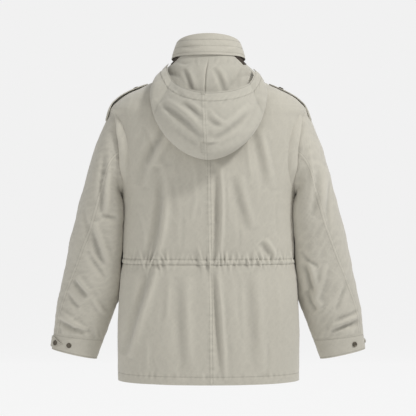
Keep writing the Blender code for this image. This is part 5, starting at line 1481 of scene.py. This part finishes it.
def add_collar(finish, thread, tape, teeth):
    """Folded collar with its topstitching, and the zip ends beside the hood, whose dark tape also stands in
    as painted shade of the neck's inside.
    """
    panel = (*collar_grid(), ZIP_WALL)
    cloth_piece("collar", panel, finish)
    lines = [beside_row(panel, offset, True) for offset in COLLAR_STITCHES]
    column = round((COLLAR_CROSS_STITCH + COLLAR_END) / (2 * COLLAR_END) * COLLAR_DETAIL)
    outer = slice(len(panel[0]) - 3 * COLLAR_LAYER_STEPS, None)
    spots, normal = (grid[outer, column] for grid in panel[:2])
    lines.append((spots + normal * ZIP_WALL / 2, normal))
    stitches("stitches_collar", lines, thread)
    for side, sign in SIDES.items():
        angle = sign * np.linspace(*ZIP_ANGLES, ZIP_DETAIL + 1)
        # Below the zip line the dark tape is painted shade of the neck's inside.
        share = np.linspace(HOOD_TUCK, -ZIP_DROP_WITH_PAINTED_SHADE, ZIP_ROWS + 1)[:, None]
        angles = angle + 0 * share
        strip = collar_points(angles, zip_line(angles) + share, np.full_like(angles, ZIP_TUCK_OUT))
        normals = grid_normals(strip, strip * LEVEL)
        name = f"collar_zip_{side}"
        piece(f"tape_{side}", shell(name, strip, normals, ZIP_WALL), tape, "zip_tape", name)
        middle, normal = (at_index(grid, ZIP_TEETH_ROW * ZIP_ROWS, np.arange(ZIP_DETAIL + 1))
                          for grid in (strip, normals))
        normal = unit(normal)
        add_teeth(f"teeth_{side}", (middle + normal * ZIP_WALL / 2, normal), teeth)


def add_hood(finish, thread, tape):
    """Two halves of the hood, sewn along the centre, with the channel of its rim and its patches; the dark
    zip-end patches are partly painted shade.
    """
    finishes = {"cloth": finish, "zip_tape": tape}
    row, half = refine(HOOD_ROWS, HOOD_FINE), refine(HOOD_COLUMNS, HOOD_FINE)
    place = np.concatenate([half[::-1], -half[1:]])
    points, normals = hood_grid(row[:, None], place[None, :])
    outward = np.sign(np.sum(normals[-1, :, 1]))
    whole = (points, normals * outward, CLOTH)
    panels = {}
    for side, part in (("left", slice(0, len(half))), ("right", slice(len(half) - 1, None))):
        panels[side] = (whole[0][:, part], whole[1][:, part], CLOTH)
        cloth_piece(f"hood_{side}", panels[side], finish)
    lines = [beside_row(whole, HOOD_CHANNEL, True), beside_row(whole, EDGE_STITCH, True)]
    outer_rows = (int(np.searchsorted(row, HOOD_OUTSIDE_ROWS[0])), len(row))
    lines += [beside_column(panels["left"], offset, True, outer_rows) for offset in SEAM_STITCHES]
    for name, slot, facing, row_low, row_high, place_low, place_high in HOOD_PATCHES:
        rows = np.interp(np.linspace(row_low, row_high, PATCH_STEPS), row, np.arange(len(row)))[:, None]
        places = np.linspace(place_high, place_low, PATCH_STEPS)
        columns = np.interp(-places, -place, np.arange(len(place)))[None, :]
        normal = unit(at_index(whole[1], rows, columns)) * facing
        spots = at_index(whole[0], rows, columns) + normal * (CLOTH / 2 + PATCH_WALL / 2)
        patch = (spots, normal, PATCH_WALL)
        piece(f"{slot}_{name}", shell(name, *patch), finishes[slot], slot)
        if slot == "cloth":
            lines += edge_lines(patch, PATCH_STITCH)
    stitches("stitches_hood", lines, thread)


def add_placket(finish, thread):
    """Placket over the front closure."""
    rows, columns = PLACKET_DETAIL
    z = np.linspace(*PLACKET_Z, rows)[:, None]
    points, normals = front_surface(np.linspace(*PLACKET_X, columns + 1)[None, :], z)
    panel = (points + normals * (CLOTH / 2 + PLACKET_LAY + DOUBLE / 2), normals, DOUBLE)
    cloth_piece("placket", panel, finish)
    stitches("stitches_placket", edge_lines(panel, EDGE_STITCH), thread)


def add_cuff_tabs(finish, thread):
    """Pointed tab on each cuff."""
    middle = (1.0 + CUFF_END) / 2
    rise = DOUBLE / 2 + TAB_LAY + DOUBLE / 2
    column = np.linspace(0, TAB_COLUMNS, TAB_DETAIL + 1)
    half = np.clip((TAB_COLUMNS - column) / TAB_POINT_COLUMNS, TAB_TIP, 1.0) * TAB_HALF_HEIGHT
    for side in SIDES:
        angles = np.linspace(*TAB_ANGLES[side], TAB_DETAIL + 1)
        places = [[cuff_place(side, middle + row * h, angle, rise) for angle, h in zip(angles, half)]
                  for row in np.linspace(-1, 1, TAB_ROW_STEPS + 1)]
        panel = (*np.moveaxis(np.array(places), 2, 0), DOUBLE)
        cloth_piece(f"cuff_tab_{side}", panel, finish)
        foot, _, *edges = edge_lines(panel, EDGE_STITCH)
        stitches(f"stitches_tab_{side}", [foot, *edges], thread)


def add_straps(finish, thread):
    """Shoulder straps."""
    for side in SIDES:
        points, normals = strap_grid(side)
        rows, columns = (np.linspace(0, last - 1, count) for last, count in zip(points.shape, STRAP_DETAIL))
        fine = smooth_rows(points, rows)
        fine = np.swapaxes(smooth_rows(np.swapaxes(fine, 0, 1), columns), 0, 1)
        panel = (fine, unit(at_index(normals, rows[:, None], columns[None, :])), DOUBLE)
        cloth_piece(f"shoulder_strap_{side}", panel, finish)
        stitches(f"stitches_strap_{side}", edge_lines(panel, EDGE_STITCH), thread)


def snap_seat(node):
    """Place and direction of a ring snap, from its solid's corners."""
    corners = np.array([node.matrix_world @ v.co for v in node.data.vertices])
    middle = corners.mean(axis=0)
    normal = np.linalg.svd(corners - middle)[2][2]
    height = (corners - middle) @ normal
    width = np.linalg.norm(corners - middle - height[:, None] * normal, axis=1)
    if np.corrcoef(height, width)[0, 1] > 0:
        normal, height = -normal, -height
    return middle + normal * height.min(), normal


def add_snaps(frame, metal):
    """Ring snaps, turned finer than their solids."""
    turn = np.arange(SNAP_DETAIL) * 2 * math.pi / SNAP_DETAIL
    for name, node in sorted(frame["nodes"].items()):
        if "snap" not in name:
            continue
        seat, normal = snap_seat(node)
        first = unit(np.cross(normal, SNAP_ASIDE))
        second = np.cross(normal, first)
        ring = np.cos(turn)[:, None] * first + np.sin(turn)[:, None] * second
        grid = np.stack([seat + normal * height + ring * max(radius, SNAP_HUB)
                         for radius, height in SNAP_PROFILE])
        number = np.arange(len(grid) * SNAP_DETAIL).reshape(len(grid), SNAP_DETAIL)
        after = np.roll(number, -1, axis=1)
        faces = np.stack([number[:-1], number[1:], after[1:], after[:-1]], axis=-1).reshape(-1, 4).tolist()
        faces += [number[0].tolist(), number[-1][::-1].tolist()]
        piece(f"ring_{name}", new_mesh(name, grid, faces, SNAP_SHARP_ANGLE), metal, "snap_metal", name)


# ---------------------------------------------------------------- stage
def add_object(name, data, place=(0.0, 0.0, 0.0)):
    """A new object in the scene."""
    made = bpy.data.objects.new(name, data)
    made.location = place
    bpy.context.scene.collection.objects.link(made)
    return made


def add_stage():
    """Pale floor and backdrop in one glowing sweep, soft lights, and the camera."""
    turn = np.linspace(0, math.pi / 2, SWEEP_STEPS + 1)
    across = FLOOR_BACK - SWEEP_RADIUS * np.sin(turn)
    up = FLOOR_Z + SWEEP_RADIUS * (1 - np.cos(turn))
    profile = [(FLOOR_FRONT, FLOOR_Z), *zip(across, up), (FLOOR_BACK - SWEEP_RADIUS, BACKDROP_TOP)]
    vertices = np.array([(x, y, z) for x in (-STAGE_HALF, STAGE_HALF) for y, z in profile])
    count = len(profile)
    faces = [(i, i + 1, count + i + 1, count + i) for i in range(count - 1)]
    floor = add_object("floor", new_mesh("floor", vertices, faces))
    finish = Finish("floor", COLOURS["floor"], 1.0)
    finish.set(finish.shader, Emission_Color=WHITE, Emission_Strength=BACKDROP_GLOW)
    floor.data.materials.append(finish.made)
    for name, place, target, size, power in LIGHTS:
        lamp = bpy.data.lights.new(name, "AREA")
        lamp.shape = "SQUARE"
        lamp.size = size
        lamp.energy = power
        aim = (Vector(target) - Vector(place)).to_track_quat("-Z", "Y")
        add_object(name, lamp, place).rotation_euler = aim.to_euler()
    scene = bpy.context.scene
    scene.world = bpy.data.worlds.new("studio")
    scene.world.use_nodes = True
    sky = scene.world.node_tree.nodes["Background"].inputs
    sky["Color"].default_value = WHITE
    sky["Strength"].default_value = WORLD_STRENGTH
    lens = bpy.data.cameras.new("camera")
    lens.lens = CAMERA_LENS
    lens.sensor_width = CAMERA_SENSOR
    scene.camera = add_object("camera", lens, CAMERA_PLACE)
    scene.camera.rotation_euler = (math.pi / 2, 0, math.pi)
    scene.view_settings.view_transform = "Standard"


def main():
    """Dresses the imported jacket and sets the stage."""
    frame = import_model()
    cloth = cotton("cotton_body", COLOURS["cloth"])
    hood_cloth = cotton("cotton_hood", COLOURS["hood"])
    sleeve_cloth = cotton("cotton_sleeve", COLOURS["sleeve"])
    thread = thread_finish_with_seam_shade()
    sleeves = add_body(cloth, thread)
    add_sleeves(sleeves, sleeve_cloth, thread)
    tape = cotton("zip_tape", COLOURS["zip"], TAPE_MOTTLE, TAPE_SHEEN)
    add_collar(cloth, thread, tape, aged_metal("zip_teeth", COLOURS["teeth"]))
    add_hood(hood_cloth, thread, tape)
    add_placket(cloth, thread)
    add_cuff_tabs(sleeve_cloth, thread)
    add_straps(cloth, thread)
    add_snaps(frame, aged_metal("snap_metal", COLOURS["snap"]))
    add_stage()


main()
